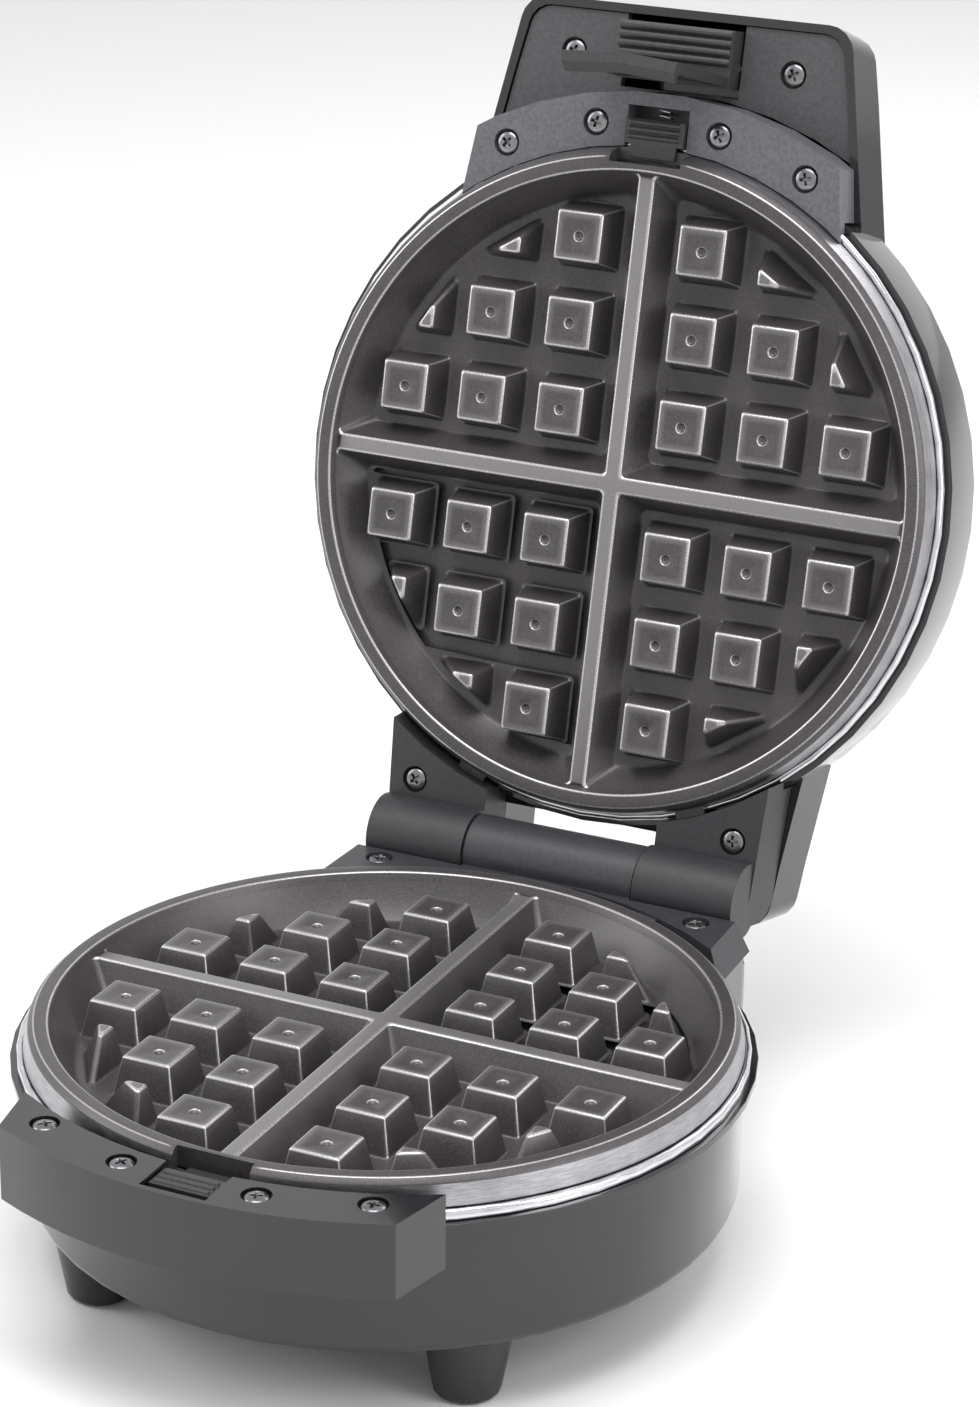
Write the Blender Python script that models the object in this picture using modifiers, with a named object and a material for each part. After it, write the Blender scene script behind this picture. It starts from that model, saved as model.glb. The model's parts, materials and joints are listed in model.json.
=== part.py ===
"""Round waffle maker with a hinged lid, two lift-out cast plates and a snap latch.

The model stands on z = 0 with its front, the latch side, towards -Y. The base is
modelled in base_frame, whose origin is the centre of the base plate at the height of
its knob tops. The lid is modelled in lid_face, the same frame for the lid's plate with
+Z pointing out of that plate, so both halves share their functions. lid_face hangs on
lid_hinge, which is turned by the opening angle. All sizes are in metres.
"""
import math

import bmesh
import bpy
from mathutils import Matrix, Vector

mm = 0.001

# Shared fits
gap = 0.3 * mm
running_gap = 0.4 * mm
overrun = 2.0 * mm
weld = 0.01 * mm
ring_steps = 48
small_steps = 16
boss_sides = 10
screw_sides = 8
foot_sides = 16

# Stance and lid
knob_plane_height = 66.2 * mm
plate_gap = 6.5 * mm
opening_angle = math.radians(103.3)

# Waffle plates
knob_pitch = 25.0 * mm
knob_first = 19.05 * mm
knob_top = 13.2 * mm
knob_base = 18.8 * mm
knob_height = 10.0 * mm
knob_rows = 4
plate_floor_radius = 83.0 * mm
wall_lean = 7.0 * mm
rim_width = 3.3 * mm
rim_chamfer = 1.2 * mm
skirt_lean = 1.3 * mm
rim_inner_radius = plate_floor_radius + wall_lean
rim_outer_radius = rim_inner_radius + rim_width
rim_step_radius = rim_outer_radius + rim_chamfer
skirt_radius = rim_step_radius + skirt_lean
edge_knob_gap = 2.5 * mm
edge_knob_lean = 4.5 * mm
full_knob_margin = 1.0 * mm
edge_knob_margin = 4.0 * mm
edge_knob_floor_radius = plate_floor_radius - edge_knob_gap
edge_knob_top_radius = edge_knob_floor_radius - edge_knob_lean
full_knob_reach = edge_knob_top_radius - full_knob_margin
edge_knob_reach = edge_knob_top_radius - edge_knob_margin
dimple_radius = 2.0 * mm
dimple_depth = 1.0 * mm
dimple_sides = 6
rib_top = 4.0 * mm
rib_base = 13.0 * mm
plate_wall = 3.0 * mm
rim_rise = 2.5 * mm
rim_step_drop = 1.2 * mm
skirt_wall = 2.2 * mm
skirt_depth = 4.3 * mm
notch_half_width = 11.0 * mm
notch_land = 1.5 * mm
notch_radius = rim_inner_radius + notch_land
ledge_depth = 2.9 * mm
shelf_lap = 1.4 * mm
shelf_reach = rim_inner_radius - shelf_lap
tab_angle = math.radians(21.0)
tab_width = 9.0 * mm
tab_length = 3.5 * mm
tab_reach = skirt_radius + tab_length
tab_thickness = 1.8 * mm

# Heating elements and reflector pans
pan_sheet = 0.8 * mm
pan_clearance = 2.2 * mm
pan_room = 13.0 * mm
pan_floor_depth = knob_height + plate_wall + pan_room
pan_corner = 5.0 * mm
element_radius = 3.25 * mm
element_inset = 21.0 * mm
element_loop_radius = plate_floor_radius - element_inset
element_end_drop = 4.5 * mm
element_end_depth = pan_floor_depth + element_end_drop
element_gap_angle = math.radians(24.0)
element_points = 30
element_bend = 5.0 * mm
element_hole_radius = 4.5 * mm
bracket_width = 8.0 * mm
bracket_sheet = 1.2 * mm
bracket_angles = (math.radians(270.0), math.radians(210.0), math.radians(330.0))
pan_screw_circle = 42.0 * mm
pan_screw_grip = 4.0 * mm
pan_screw_angles = (0.0, math.pi)

# Trim rings
bead_clearance = 0.4 * mm
bead_width = 2.0 * mm
bead_inner_radius = skirt_radius + bead_clearance
bead_outer_radius = bead_inner_radius + bead_width
bead_round = 0.6 * mm
ring_lap = 1.8 * mm
ring_flange_radius = skirt_radius - ring_lap

# Base housing
flange_land = 1.8 * mm
flange_radius = bead_outer_radius + flange_land
flange_depth = 7.5 * mm
flange_thickness = 2.0 * mm
flange_overhang = 4.0 * mm
drum_radius = flange_radius - flange_overhang
drum_wall = 2.5 * mm
pan_radius = drum_radius - drum_wall - pan_clearance
base_room = 20.4 * mm
drum_depth = pan_floor_depth + base_room
drum_round = 3.0 * mm
tail_front_half_width = 66.0 * mm
tail_lap = 1.3 * mm
tail_front = math.sqrt(drum_radius ** 2 - tail_front_half_width ** 2) + tail_lap
tail_half_width = 63.2 * mm
tail_straight = 1.0 * mm
tail_waist = drum_radius + tail_straight
tail_reach = 7.0 * mm
tail_rear = flange_radius + tail_reach
tail_corner = 9.0 * mm
tail_top_depth = 8.5 * mm
tail_step_lap = 0.5 * mm
tail_step_front = flange_radius - tail_step_lap
tail_step_depth = 12.5 * mm
tail_roof = 2.5 * mm
vent_count = 9
vent_length = 46.0 * mm
vent_width = 3.2 * mm
vent_pitch = 8.0 * mm
lug_depth = 12.6 * mm
lug_thickness = 4.6 * mm

# Screws
screw_head_radius = 3.5 * mm
screw_head_height = 1.6 * mm
screw_edge = 0.5 * mm
screw_shank_radius = 1.5 * mm
counterbore_radius = 4.0 * mm
counterbore_depth = screw_head_height + gap
boss_radius = 4.2 * mm
boss_hole_spare = 1.0 * mm

# Base front block
front_block_rise = 3.2 * mm
front_block_bottom = 17.5 * mm
front_block_width = 15.1 * mm
front_block_inner = flange_radius + running_gap
front_block_outer = front_block_inner + front_block_width
front_block_flattening = 20.0 * mm
front_block_inner_curve = front_block_inner + front_block_flattening
front_block_outer_curve = front_block_outer + front_block_flattening
front_block_inner_half_width = 60.0 * mm
front_block_outer_half_width = 56.0 * mm
hook_clearance = 0.5 * mm
hook_inner_radius = front_block_outer + hook_clearance
hook_thickness = 3.0 * mm
latch_pivot_offset = 2.0 * mm
latch_pivot_y = hook_inner_radius + hook_thickness + latch_pivot_offset
lug_inset = 3.1 * mm
lug_radius = front_block_outer - lug_inset
front_screw_inset = 10.1 * mm
outer_screw_inset = 8.2 * mm
outer_screw_side = 9.5 * mm
outer_screw_x = front_block_outer_half_width - outer_screw_side
outer_screw_circle = front_block_outer - outer_screw_inset
outer_screw_y = math.sqrt(outer_screw_circle ** 2 - outer_screw_x ** 2)
front_screw_places = (
    (19.0 * mm, front_block_outer - front_screw_inset), (outer_screw_x, outer_screw_y))
lug_end_land = 6.0 * mm
lug_half_angle = math.atan2(outer_screw_x + lug_end_land, outer_screw_y)
base_recess_inset = 2.0 * mm
base_recess_outer = front_block_outer - base_recess_inset
front_screw_length = 17.5 * mm
base_recess_half_width = 9.3 * mm
base_recess_floor = 7.2 * mm

# Base hinge block
hinge_block_depth = 8.2 * mm
hinge_block_lap = 24.0 * mm
hinge_block_front = flange_radius - hinge_block_lap
hinge_block_front_half_width = 65.5 * mm
hinge_block_rear = flange_radius - gap
hinge_block_rear_half_width = 64.6 * mm
hinge_block_draft = 4.6 * mm
hinge_block_round = flange_radius + gap
hinge_reach = 11.5 * mm
hinge_y = flange_radius + hinge_reach
hinge_z = 0.8 * mm
middle_barrel_radius = 10.3 * mm
middle_barrel_half = 26.7 * mm
barrel_clearance = 0.5 * mm
web_lap = 5.0 * mm
web_front = flange_radius - web_lap
hinge_pin_radius = 3.0 * mm
hinge_pin_half = 55.0 * mm
hinge_screw_inset = 5.8 * mm
hinge_screw_place = (50.2 * mm, flange_radius - hinge_screw_inset)
hinge_screw_length = 20.0 * mm
tail_boss_bottom = 27.0 * mm
catch_width = 7.0 * mm
catch_lap = 1.9 * mm
catch_front = tab_reach - catch_lap
catch_thickness = 1.5 * mm

# Feet
foot_top_radius = 12.2 * mm
foot_bottom_radius = 8.9 * mm
foot_edge = 0.8 * mm
front_foot_inset = 15.1 * mm
front_foot_angle = math.radians(47.85)
front_foot_circle = drum_radius - front_foot_inset
front_foot_place = (
    front_foot_circle * math.cos(front_foot_angle),
    -front_foot_circle * math.sin(front_foot_angle))
rear_foot_inset = 16.0 * mm
rear_foot_place = (46.0 * mm, tail_rear - rear_foot_inset)
foot_stud_radius = 3.0 * mm
foot_stud_rise = 1.5 * mm

# Cord gland and base electrics
gland_x = 0.0
gland_depth = 28.0 * mm
gland_flange_radius = 8.0 * mm
gland_flange = 3.0 * mm
gland_body_radius = 5.6 * mm
gland_body = 9.0 * mm
gland_bore_radius = 3.6 * mm
thermostat_radius = 9.0 * mm
thermostat_height = 7.0 * mm
cutout_height = 4.2 * mm
blade_length = 7.0 * mm
blade_width = 4.8 * mm
blade_thickness = 0.8 * mm
terminal_size = (30.0 * mm, 13.0 * mm, 11.0 * mm)
terminal_inset = 20.0 * mm
terminal_front = drum_radius - terminal_inset
terminal_bore = 1.6 * mm
terminal_pitch = 9.0 * mm
wire_radius = 1.1 * mm

# Release buttons
button_length = 8.5 * mm
button_travel = 3.0 * mm
button_ridge_radius = 0.8 * mm
button_ridges = 3
tongue_half_width = 7.0 * mm
tongue_lap = 2.6 * mm
tongue_reach = skirt_radius - tongue_lap
tongue_thickness = 1.2 * mm
spring_bore_radius = 2.9 * mm
spring_bore_end = 1.0 * mm
spring_radius = 2.0 * mm
spring_wire = 0.25 * mm
spring_pitch = 1.5 * mm
spring_points = 8

# Lid cover
cover_radius = flange_radius
cover_room = 9.0 * mm
cover_back_depth = pan_floor_depth + cover_room
cover_dome = 8.0 * mm
cover_side_depth = cover_back_depth - cover_dome
cover_round = 8.0 * mm
cover_wall = 2.5 * mm
handle_lip_depth = 15.3 * mm
grip_length = 10.4 * mm
grip_end = latch_pivot_y + grip_length
grip_inset = 4.5 * mm
handle_side = 20.9 * mm
handle_lap = 30.0 * mm
handle_root = (62.2 * mm, cover_radius - handle_lap)
handle_end = (50.2 * mm, grip_end + grip_inset)
handle_shoulder = (54.0 * mm, grip_end + grip_inset - handle_side)
handle_corner = 8.0 * mm
handle_end_draft = 2.4 * mm
rear_lip_depth = 12.8 * mm
rear_lap = 32.0 * mm
rear_root = (65.4 * mm, cover_radius - rear_lap)
rear_neck = 4.0 * mm
rear_shoulder = (60.5 * mm, cover_radius + rear_neck)
rear_reach = 22.8 * mm
rear_end = (58.4 * mm, cover_radius + rear_reach)
rear_corner = 8.0 * mm
rear_end_draft = 0.6 * mm
belly_rise = 5.5 * mm
belly_depth = cover_back_depth - belly_rise
belly_flare = 1.9 * mm
back_edge = 3.4 * mm
cutout_half_width = middle_barrel_half + barrel_clearance
cutout_front = cover_radius + gap
lamp_inset = 20.0 * mm
lamp_place = (9.0 * mm, lamp_inset - cover_radius)
lamp_radius = 3.7 * mm
lamp_flange_radius = 5.2 * mm
lamp_flange = 1.2 * mm
lamp_proud = 0.8 * mm

# Lid arc block
arc_block_face = 3.1 * mm
arc_block_bottom = handle_lip_depth - gap
arc_block_lap = 0.5 * mm
arc_block_inner = bead_inner_radius + arc_block_lap
arc_block_lip = 1.2 * mm
arc_block_inset = 3.5 * mm
arc_block_outer = front_block_outer - arc_block_inset
arc_block_end_outer = 56.0 * mm
arc_block_end_inner = 58.1 * mm
arc_block_half_angle = math.radians(42.0)
arc_screw_reach = 1.8 * mm
outer_arc_screw_inset = 7.1 * mm
arc_screw_places = (
    (19.0 * mm, cover_radius + arc_screw_reach),
    (46.2 * mm, cover_radius - outer_arc_screw_inset))
arc_screw_length = 20.0 * mm
lid_recess_half_width = 9.5 * mm
lid_recess_inset = 4.2 * mm
lid_recess_outer = arc_block_outer - lid_recess_inset
lid_recess_floor = 13.0 * mm

# Lid handle plate
handle_plate_face = 16.3 * mm
handle_plate_thickness = 3.0 * mm
handle_screw_place = (34.0 * mm, latch_pivot_y)
handle_screw_length = 10.5 * mm

# Lid ears
ear_face_rise = 2.5 * mm
ear_bottom = 12.5 * mm
ear_inner = cutout_half_width
ear_front_half_width = 60.0 * mm
ear_rear_half_width = 57.6 * mm
ear_flare = 1.5 * mm
ear_lap = 23.5 * mm
ear_front = cover_radius - ear_lap
ear_reach = 19.5 * mm
ear_rear = cover_radius + ear_reach
ear_corner = 7.0 * mm
ear_round = bead_outer_radius + running_gap
ear_barrel_radius = 11.0 * mm
ear_barrel_end = 58.0 * mm
ear_screw_inset = 4.4 * mm
ear_screw_place = (50.8 * mm, cover_radius - ear_screw_inset)
ear_screw_length = 24.0 * mm

# Latch
latch_pivot_depth = 19.0 * mm
latch_swing = math.radians(3.9)
latch_half_width = 17.5 * mm
latch_slot_half_width = 18.3 * mm
latch_slot_inner = arc_block_outer + running_gap
latch_pin_radius = 1.5 * mm
latch_pin_half = 22.0 * mm
latch_lug_thickness = 4.5 * mm
latch_lug_depth = 23.5 * mm
latch_lug_half_length = 4.5 * mm
latch_hub_radius = 4.2 * mm
hook_top = 30.2 * mm
barb_reach = 2.6 * mm
barb_land = 0.8 * mm
grip_top = 9.4 * mm
grip_bottom = 18.0 * mm
grip_rib_radius = 1.2 * mm
grip_ribs = 4
latch_spring_gap = 4.5 * mm
latch_spring_radius = 2.3 * mm
latch_spring_wire = 0.3 * mm
latch_spring_pitch = 1.3 * mm
latch_spring_turns = 3


# Scene set-up
for old in list(bpy.data.objects):
    bpy.data.objects.remove(old, do_unlink=True)

parts = bpy.data.collections.new("waffle_maker")
cutters = bpy.data.collections.new("cutters")
bpy.context.scene.collection.children.link(parts)
bpy.context.scene.collection.children.link(cutters)

finishes = {
    "gloss_black": ((0.012, 0.012, 0.014), 0.12, 0.0),
    "satin_black": ((0.035, 0.034, 0.038), 0.42, 0.0),
    "matt_black": ((0.030, 0.030, 0.034), 0.55, 0.0),
    "non_stick": ((0.055, 0.052, 0.056), 0.38, 0.25),
    "steel": ((0.62, 0.62, 0.64), 0.22, 1.0),
    "dark_steel": ((0.24, 0.24, 0.26), 0.30, 1.0),
    "sheet": ((0.70, 0.70, 0.71), 0.35, 1.0),
    "nylon": ((0.72, 0.70, 0.64), 0.50, 0.0),
    "copper": ((0.55, 0.16, 0.10), 0.45, 0.0),
    "red_lens": ((0.55, 0.02, 0.02), 0.15, 0.0),
    "green_lens": ((0.03, 0.40, 0.08), 0.15, 0.0),
}


def material(node, finish):
    """A Principled material of its own for one node."""
    colour, roughness, metallic = finishes[finish]
    made = bpy.data.materials.new(node + "_" + finish)
    made.use_nodes = True
    shader = made.node_tree.nodes["Principled BSDF"]
    shader.inputs["Base Color"].default_value = (*colour, 1.0)
    shader.inputs["Roughness"].default_value = roughness
    shader.inputs["Metallic"].default_value = metallic
    made.diffuse_color = (*colour, 1.0)
    return made


def empty(name, parent, location, rotation=(0.0, 0.0, 0.0)):
    """An empty that carries a frame or a joint axis."""
    frame = bpy.data.objects.new(name, None)
    frame.parent = parent
    frame.location = location
    frame.rotation_euler = rotation
    parts.objects.link(frame)
    return frame


root = empty("root_frame", None, (0.0, 0.0, 0.0))
base_frame = empty("base_frame", root, (0.0, 0.0, knob_plane_height))
lid_hinge = empty(
    "lid_hinge", root, (0.0, hinge_y, knob_plane_height + hinge_z), (-opening_angle, 0.0, 0.0))
lid_face = empty(
    "lid_face", lid_hinge, (0.0, -hinge_y, plate_gap - hinge_z), (0.0, math.pi, 0.0))
latch_pivot = empty(
    "latch_pivot", lid_face, (0.0, -latch_pivot_y, -latch_pivot_depth), (latch_swing, 0.0, 0.0))


# Modelling helpers
def keep(name, bm, frame, finish=None, smooth=True):
    """A mesh object from bm: a part if it has a finish, and otherwise a cutter."""
    mesh = bpy.data.meshes.new(name)
    bm.to_mesh(mesh)
    bm.free()
    made = bpy.data.objects.new(name, mesh)
    made.parent = frame
    if finish:
        parts.objects.link(made)
        mesh.materials.append(material(name, finish))
        if smooth:
            mesh.shade_smooth()
            mesh.set_sharp_from_angle(angle=math.radians(35.0))
    else:
        cutters.objects.link(made)
        made.display_type = 'WIRE'
        made.hide_render = True
    return made


def boolean(target, operation, tool):
    modifier = target.modifiers.new(tool.name, 'BOOLEAN')
    modifier.operation = operation
    modifier.solver = 'EXACT'
    modifier.object = tool
    return target


def cut(target, *tools):
    for tool in tools:
        boolean(target, 'DIFFERENCE', tool)
    return target


def join(target, *tools):
    for tool in tools:
        boolean(target, 'UNION', tool)
    return target


def block(bm, low, high):
    """A box between two corners."""
    low, high = Vector(low), Vector(high)
    middle = (low + high) / 2
    bmesh.ops.create_cube(
        bm, size=1.0, matrix=Matrix.Translation(middle) @ Matrix.Diagonal((*(high - low), 1.0)))


def tapered(bm, centre, bottom, top, low, high):
    """A box whose bottom and top half sizes differ, between two heights."""
    made = bmesh.ops.create_cube(bm, size=2.0)["verts"]
    for vert in made:
        half = top if vert.co.z > 0 else bottom
        height = high if vert.co.z > 0 else low
        vert.co = (centre[0] + vert.co.x * half[0], centre[1] + vert.co.y * half[1], height)


def rod(bm, centre, axis, radius, length, sides=small_steps, radius_end=None):
    """A cylinder or cone centred on a point, along X, Y or Z."""
    turn = {
        'X': Matrix.Rotation(math.pi / 2, 4, 'Y'),
        'Y': Matrix.Rotation(-math.pi / 2, 4, 'X'),
        'Z': Matrix.Identity(4),
    }[axis]
    end = radius if radius_end is None else radius_end
    bmesh.ops.create_cone(
        bm, cap_ends=True, segments=sides, radius1=radius, radius2=end, depth=length,
        matrix=Matrix.Translation(centre) @ turn)


def boxes(name, frame, spans, finish=None):
    bm = bmesh.new()
    for low, high in spans:
        block(bm, low, high)
    return keep(name, bm, frame, finish, smooth=False)


def rods(name, frame, places, finish=None, **shape):
    bm = bmesh.new()
    for centre in places:
        rod(bm, centre, **shape)
    return keep(name, bm, frame, finish)


def turned(name, frame, profile, finish=None, ring=False, steps=ring_steps):
    """A profile of (radius, height) points turned about Z; a ring's profile is closed."""
    bm = bmesh.new()
    verts = [bm.verts.new((radius, 0.0, height)) for radius, height in profile]
    for start, end in zip(verts, verts[1:] + (verts[:1] if ring else [])):
        bm.edges.new((start, end))
    made = keep(name, bm, frame, finish, smooth=False)
    screw = made.modifiers.new("turn", 'SCREW')
    screw.axis = 'Z'
    screw.steps = steps
    screw.render_steps = steps
    screw.use_merge_vertices = True
    screw.merge_threshold = weld
    screw.use_smooth_shade = True
    return made


def sector(name, frame, profile, half_angle, finish=None, centre_angle=-math.pi / 2):
    """A profile of (radius, height) points swept through an arc about Z."""
    start = centre_angle - half_angle
    bm = bmesh.new()
    verts = [
        bm.verts.new((radius * math.cos(start), radius * math.sin(start), height))
        for radius, height in profile]
    face = bm.faces.new(verts)
    steps = max(2, round(2 * half_angle / (2 * math.pi) * ring_steps))
    bmesh.ops.spin(
        bm, geom=[face], cent=(0.0, 0.0, 0.0), axis=(0.0, 0.0, 1.0), angle=2 * half_angle,
        steps=steps, use_duplicate=False)
    bmesh.ops.recalc_face_normals(bm, faces=bm.faces)
    return keep(name, bm, frame, finish)


def rounded(points, radius, which, bends=4):
    """An outline whose points in which are replaced by arcs."""
    outline = []
    for index, point in enumerate(points):
        if index not in which:
            outline.append(Vector(point))
            continue
        here = Vector(point)
        before = (Vector(points[index - 1]) - here).normalized()
        after = (Vector(points[(index + 1) % len(points)]) - here).normalized()
        half = before.angle(after) / 2
        centre = here + (before + after).normalized() * radius / math.sin(half)
        first = here + before * radius / math.tan(half) - centre
        last = here + after * radius / math.tan(half) - centre
        for bend in range(bends + 1):
            blend = first.lerp(last, bend / bends).normalized() * radius
            outline.append(centre + blend)
    return outline


def loft(name, frame, sections, finish=None, upright=True):
    """A closed loft through outlines of equally many points, at heights along Z or along X."""
    bm = bmesh.new()
    rings = [
        [bm.verts.new(raised(point, height, upright)) for point in outline]
        for outline, height in sections]
    for below, above in zip(rings, rings[1:]):
        for index in range(len(below)):
            bm.faces.new((below[index - 1], below[index], above[index], above[index - 1]))
    bm.faces.new(rings[0])
    bm.faces.new(rings[-1])
    if len(sections) > 2:
        bmesh.ops.triangulate(bm, faces=bm.faces)
    bmesh.ops.recalc_face_normals(bm, faces=bm.faces)
    return keep(name, bm, frame, finish)


def raised(point, height, upright):
    return (point[0], point[1], height) if upright else (height, point[0], point[1])


def prism(name, frame, outline, low, high, finish=None):
    """A flat outline raised between two heights."""
    return loft(name, frame, [(outline, low), (outline, high)], finish)


def tubes(name, frame, routes, radius, finish, resolution=1):
    """Round tubes with closed ends along lists of points, as one node."""
    bm = bmesh.new()
    for route in routes:
        curve = bpy.data.curves.new(name + "_path", 'CURVE')
        curve.dimensions = '3D'
        curve.bevel_depth = radius
        curve.bevel_resolution = resolution
        curve.use_fill_caps = True
        spline = curve.splines.new('POLY')
        spline.points.add(len(route) - 1)
        for target, point in zip(spline.points, route):
            target.co = (*point, 1.0)
        holder = bpy.data.objects.new(name + "_path", curve)
        cutters.objects.link(holder)
        bpy.context.view_layer.update()
        graph = bpy.context.evaluated_depsgraph_get()
        mesh = bpy.data.meshes.new_from_object(holder.evaluated_get(graph))
        bm.from_mesh(mesh)
        bpy.data.meshes.remove(mesh)
        bpy.data.objects.remove(holder, do_unlink=True)
    bmesh.ops.remove_doubles(bm, verts=bm.verts, dist=weld)
    bmesh.ops.recalc_face_normals(bm, faces=bm.faces)
    return keep(name, bm, frame, finish)


def mirrored(place):
    """A place on the right and its mirror image on the left."""
    return [(place[0], place[1]), (-place[0], place[1])]


def polar(radius, angle, height=0.0):
    return Vector((radius * math.cos(angle), radius * math.sin(angle), height))


def screws(name, frame, places, face, length, finish="dark_steel"):
    """Pan head screws, each its own piece, whose heads lie in counterbores seen from +Z."""
    under_head = face - counterbore_depth + gap
    top = under_head + screw_head_height
    for index, (x, y) in enumerate(places):
        screw = turned(f"{name}_{index + 1}", frame, [
            (0.0, top), (screw_head_radius - screw_edge, top),
            (screw_head_radius, top - screw_edge), (screw_head_radius, under_head),
            (screw_shank_radius, under_head), (screw_shank_radius, under_head - length),
            (0.0, under_head - length)], finish, steps=screw_sides)
        screw.location = (x, y, 0.0)


def screw_holes(name, frame, places, face, low):
    """Counterbores and shank holes through the piece that the screws hold."""
    bm = bmesh.new()
    for x, y in places:
        top = face + overrun
        bottom = face - counterbore_depth
        rod(bm, (x, y, (top + bottom) / 2), 'Z', counterbore_radius, top - bottom)
    counterbores = keep(name + "_counterbores", bm, frame)
    holes = rods(
        name + "_holes", frame, [(x, y, (face + low) / 2) for x, y in places],
        axis='Z', radius=screw_shank_radius + gap, length=face - low, sides=boss_sides)
    return counterbores, holes


def knob_half(depth, shape):
    """Half the width of a knob or rib at a depth under its top."""
    top, bottom = shape
    return (top + (bottom - top) * depth / knob_height) / 2


# Pieces that both halves share
def waffle_plate(name, frame):
    """Cast plate: a dish with square knobs, cross ribs, a rim and a skirt."""
    floor = -knob_height
    back = floor - plate_wall
    plate = turned(name, frame, [
        (0.0, floor), (plate_floor_radius, floor), (rim_inner_radius, rim_rise),
        (rim_outer_radius, rim_rise), (rim_step_radius, rim_rise - rim_step_drop),
        (skirt_radius, -skirt_depth), (skirt_radius - skirt_wall, -skirt_depth),
        (rim_inner_radius + plate_wall, rim_rise - plate_wall),
        (plate_floor_radius + plate_wall, back), (0.0, back)], "non_stick")
    sunk = knob_height + plate_wall / 2
    knobs, edge_knobs, dimples = bmesh.new(), bmesh.new(), bmesh.new()
    shape = (knob_top, knob_base)
    for row in range(knob_rows):
        for column in range(knob_rows):
            x, y = knob_first + column * knob_pitch, knob_first + row * knob_pitch
            inner_corner = math.hypot(x - knob_base / 2, y - knob_base / 2)
            whole = math.hypot(x, y) < full_knob_reach
            if not whole and inner_corner > edge_knob_reach:
                continue
            for side_x, side_y in ((1, 1), (1, -1), (-1, -1), (-1, 1)):
                centre = (side_x * x, side_y * y)
                half_low, half_top = knob_half(sunk, shape), knob_half(0.0, shape)
                tapered(
                    knobs if whole else edge_knobs, centre, (half_low, half_low),
                    (half_top, half_top), -sunk, 0.0)
                if whole:
                    rod(dimples, (*centre, 0.0), 'Z', dimple_radius, 2 * dimple_depth, dimple_sides)
    knob_tool = keep(name + "_knobs", knobs, frame)
    edge_tool = keep(name + "_edge_knobs", edge_knobs, frame)
    taper = (edge_knob_floor_radius - edge_knob_top_radius) / knob_height
    limit = bmesh.new()
    reach = sunk + overrun
    rod(limit, (0.0, 0.0, (overrun - reach) / 2), 'Z', edge_knob_top_radius + taper * reach,
        reach + overrun, ring_steps, edge_knob_top_radius - taper * overrun)
    boolean(edge_tool, 'INTERSECT', keep(name + "_edge_limit", limit, frame))
    ribs = bmesh.new()
    rib_shape = (rib_top, rib_base)
    wall_slope = (rim_inner_radius - plate_floor_radius) / (rim_rise + knob_height)
    top_reach = rim_inner_radius - wall_slope * rim_rise + plate_wall / 3
    low_reach = plate_floor_radius - wall_slope * plate_wall / 2 + plate_wall / 3
    tapered(ribs, (0.0, 0.0), (low_reach, knob_half(sunk, rib_shape)),
            (top_reach, knob_half(0.0, rib_shape)), -sunk, 0.0)
    rib_x = keep(name + "_rib_x", ribs, frame)
    ribs = bmesh.new()
    tapered(ribs, (0.0, 0.0), (knob_half(sunk, rib_shape), low_reach),
            (knob_half(0.0, rib_shape), top_reach), -sunk, 0.0)
    rib_y = keep(name + "_rib_y", ribs, frame)
    join(plate, knob_tool, edge_tool, rib_x, rib_y)
    shelf_half = notch_half_width + plate_wall
    shelf = boxes(name + "_shelf", frame, [(
        (-shelf_half, -skirt_radius + skirt_wall / 2, -skirt_depth),
        (shelf_half, -shelf_reach, -ledge_depth))])
    join(plate, shelf, tab_boxes(name + "_tabs", frame, 0.0))
    notch = boxes(name + "_notch", frame, [(
        (-notch_half_width, -skirt_radius - overrun, -ledge_depth),
        (notch_half_width, -notch_radius, rim_rise + overrun))])
    cut(plate, keep(name + "_dimples", dimples, frame), notch)
    return plate


def tab_boxes(name, frame, clearance):
    """The plate's two rear tabs, or with a clearance the pockets that they enter."""
    bm = bmesh.new()
    low = skirt_radius - skirt_wall / 2
    high = tab_reach + clearance
    bottom = -skirt_depth - clearance
    top = -skirt_depth + tab_thickness + clearance
    for side in (-1, 1):
        angle = math.pi / 2 + side * tab_angle
        place = Matrix.Translation(polar((low + high) / 2, angle, (bottom + top) / 2))
        size = Matrix.Diagonal((high - low, tab_width + 2 * clearance, top - bottom, 1.0))
        bmesh.ops.create_cube(bm, size=1.0, matrix=place @ Matrix.Rotation(angle, 4, 'Z') @ size)
    return keep(name, bm, frame)


def trim_ring(name, frame):
    """Polished ring: a bead beside the plate's skirt and a flange under the pan."""
    top = -skirt_depth - gap
    seat = -flange_depth + gap
    flange_top = top - pan_sheet - gap
    return turned(name, frame, [
        (bead_inner_radius, top), (bead_outer_radius - bead_round, top),
        (bead_outer_radius, top - bead_round), (bead_outer_radius, seat),
        (ring_flange_radius, seat),
        (ring_flange_radius, flange_top), (bead_inner_radius, flange_top)], "steel", ring=True)


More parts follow.
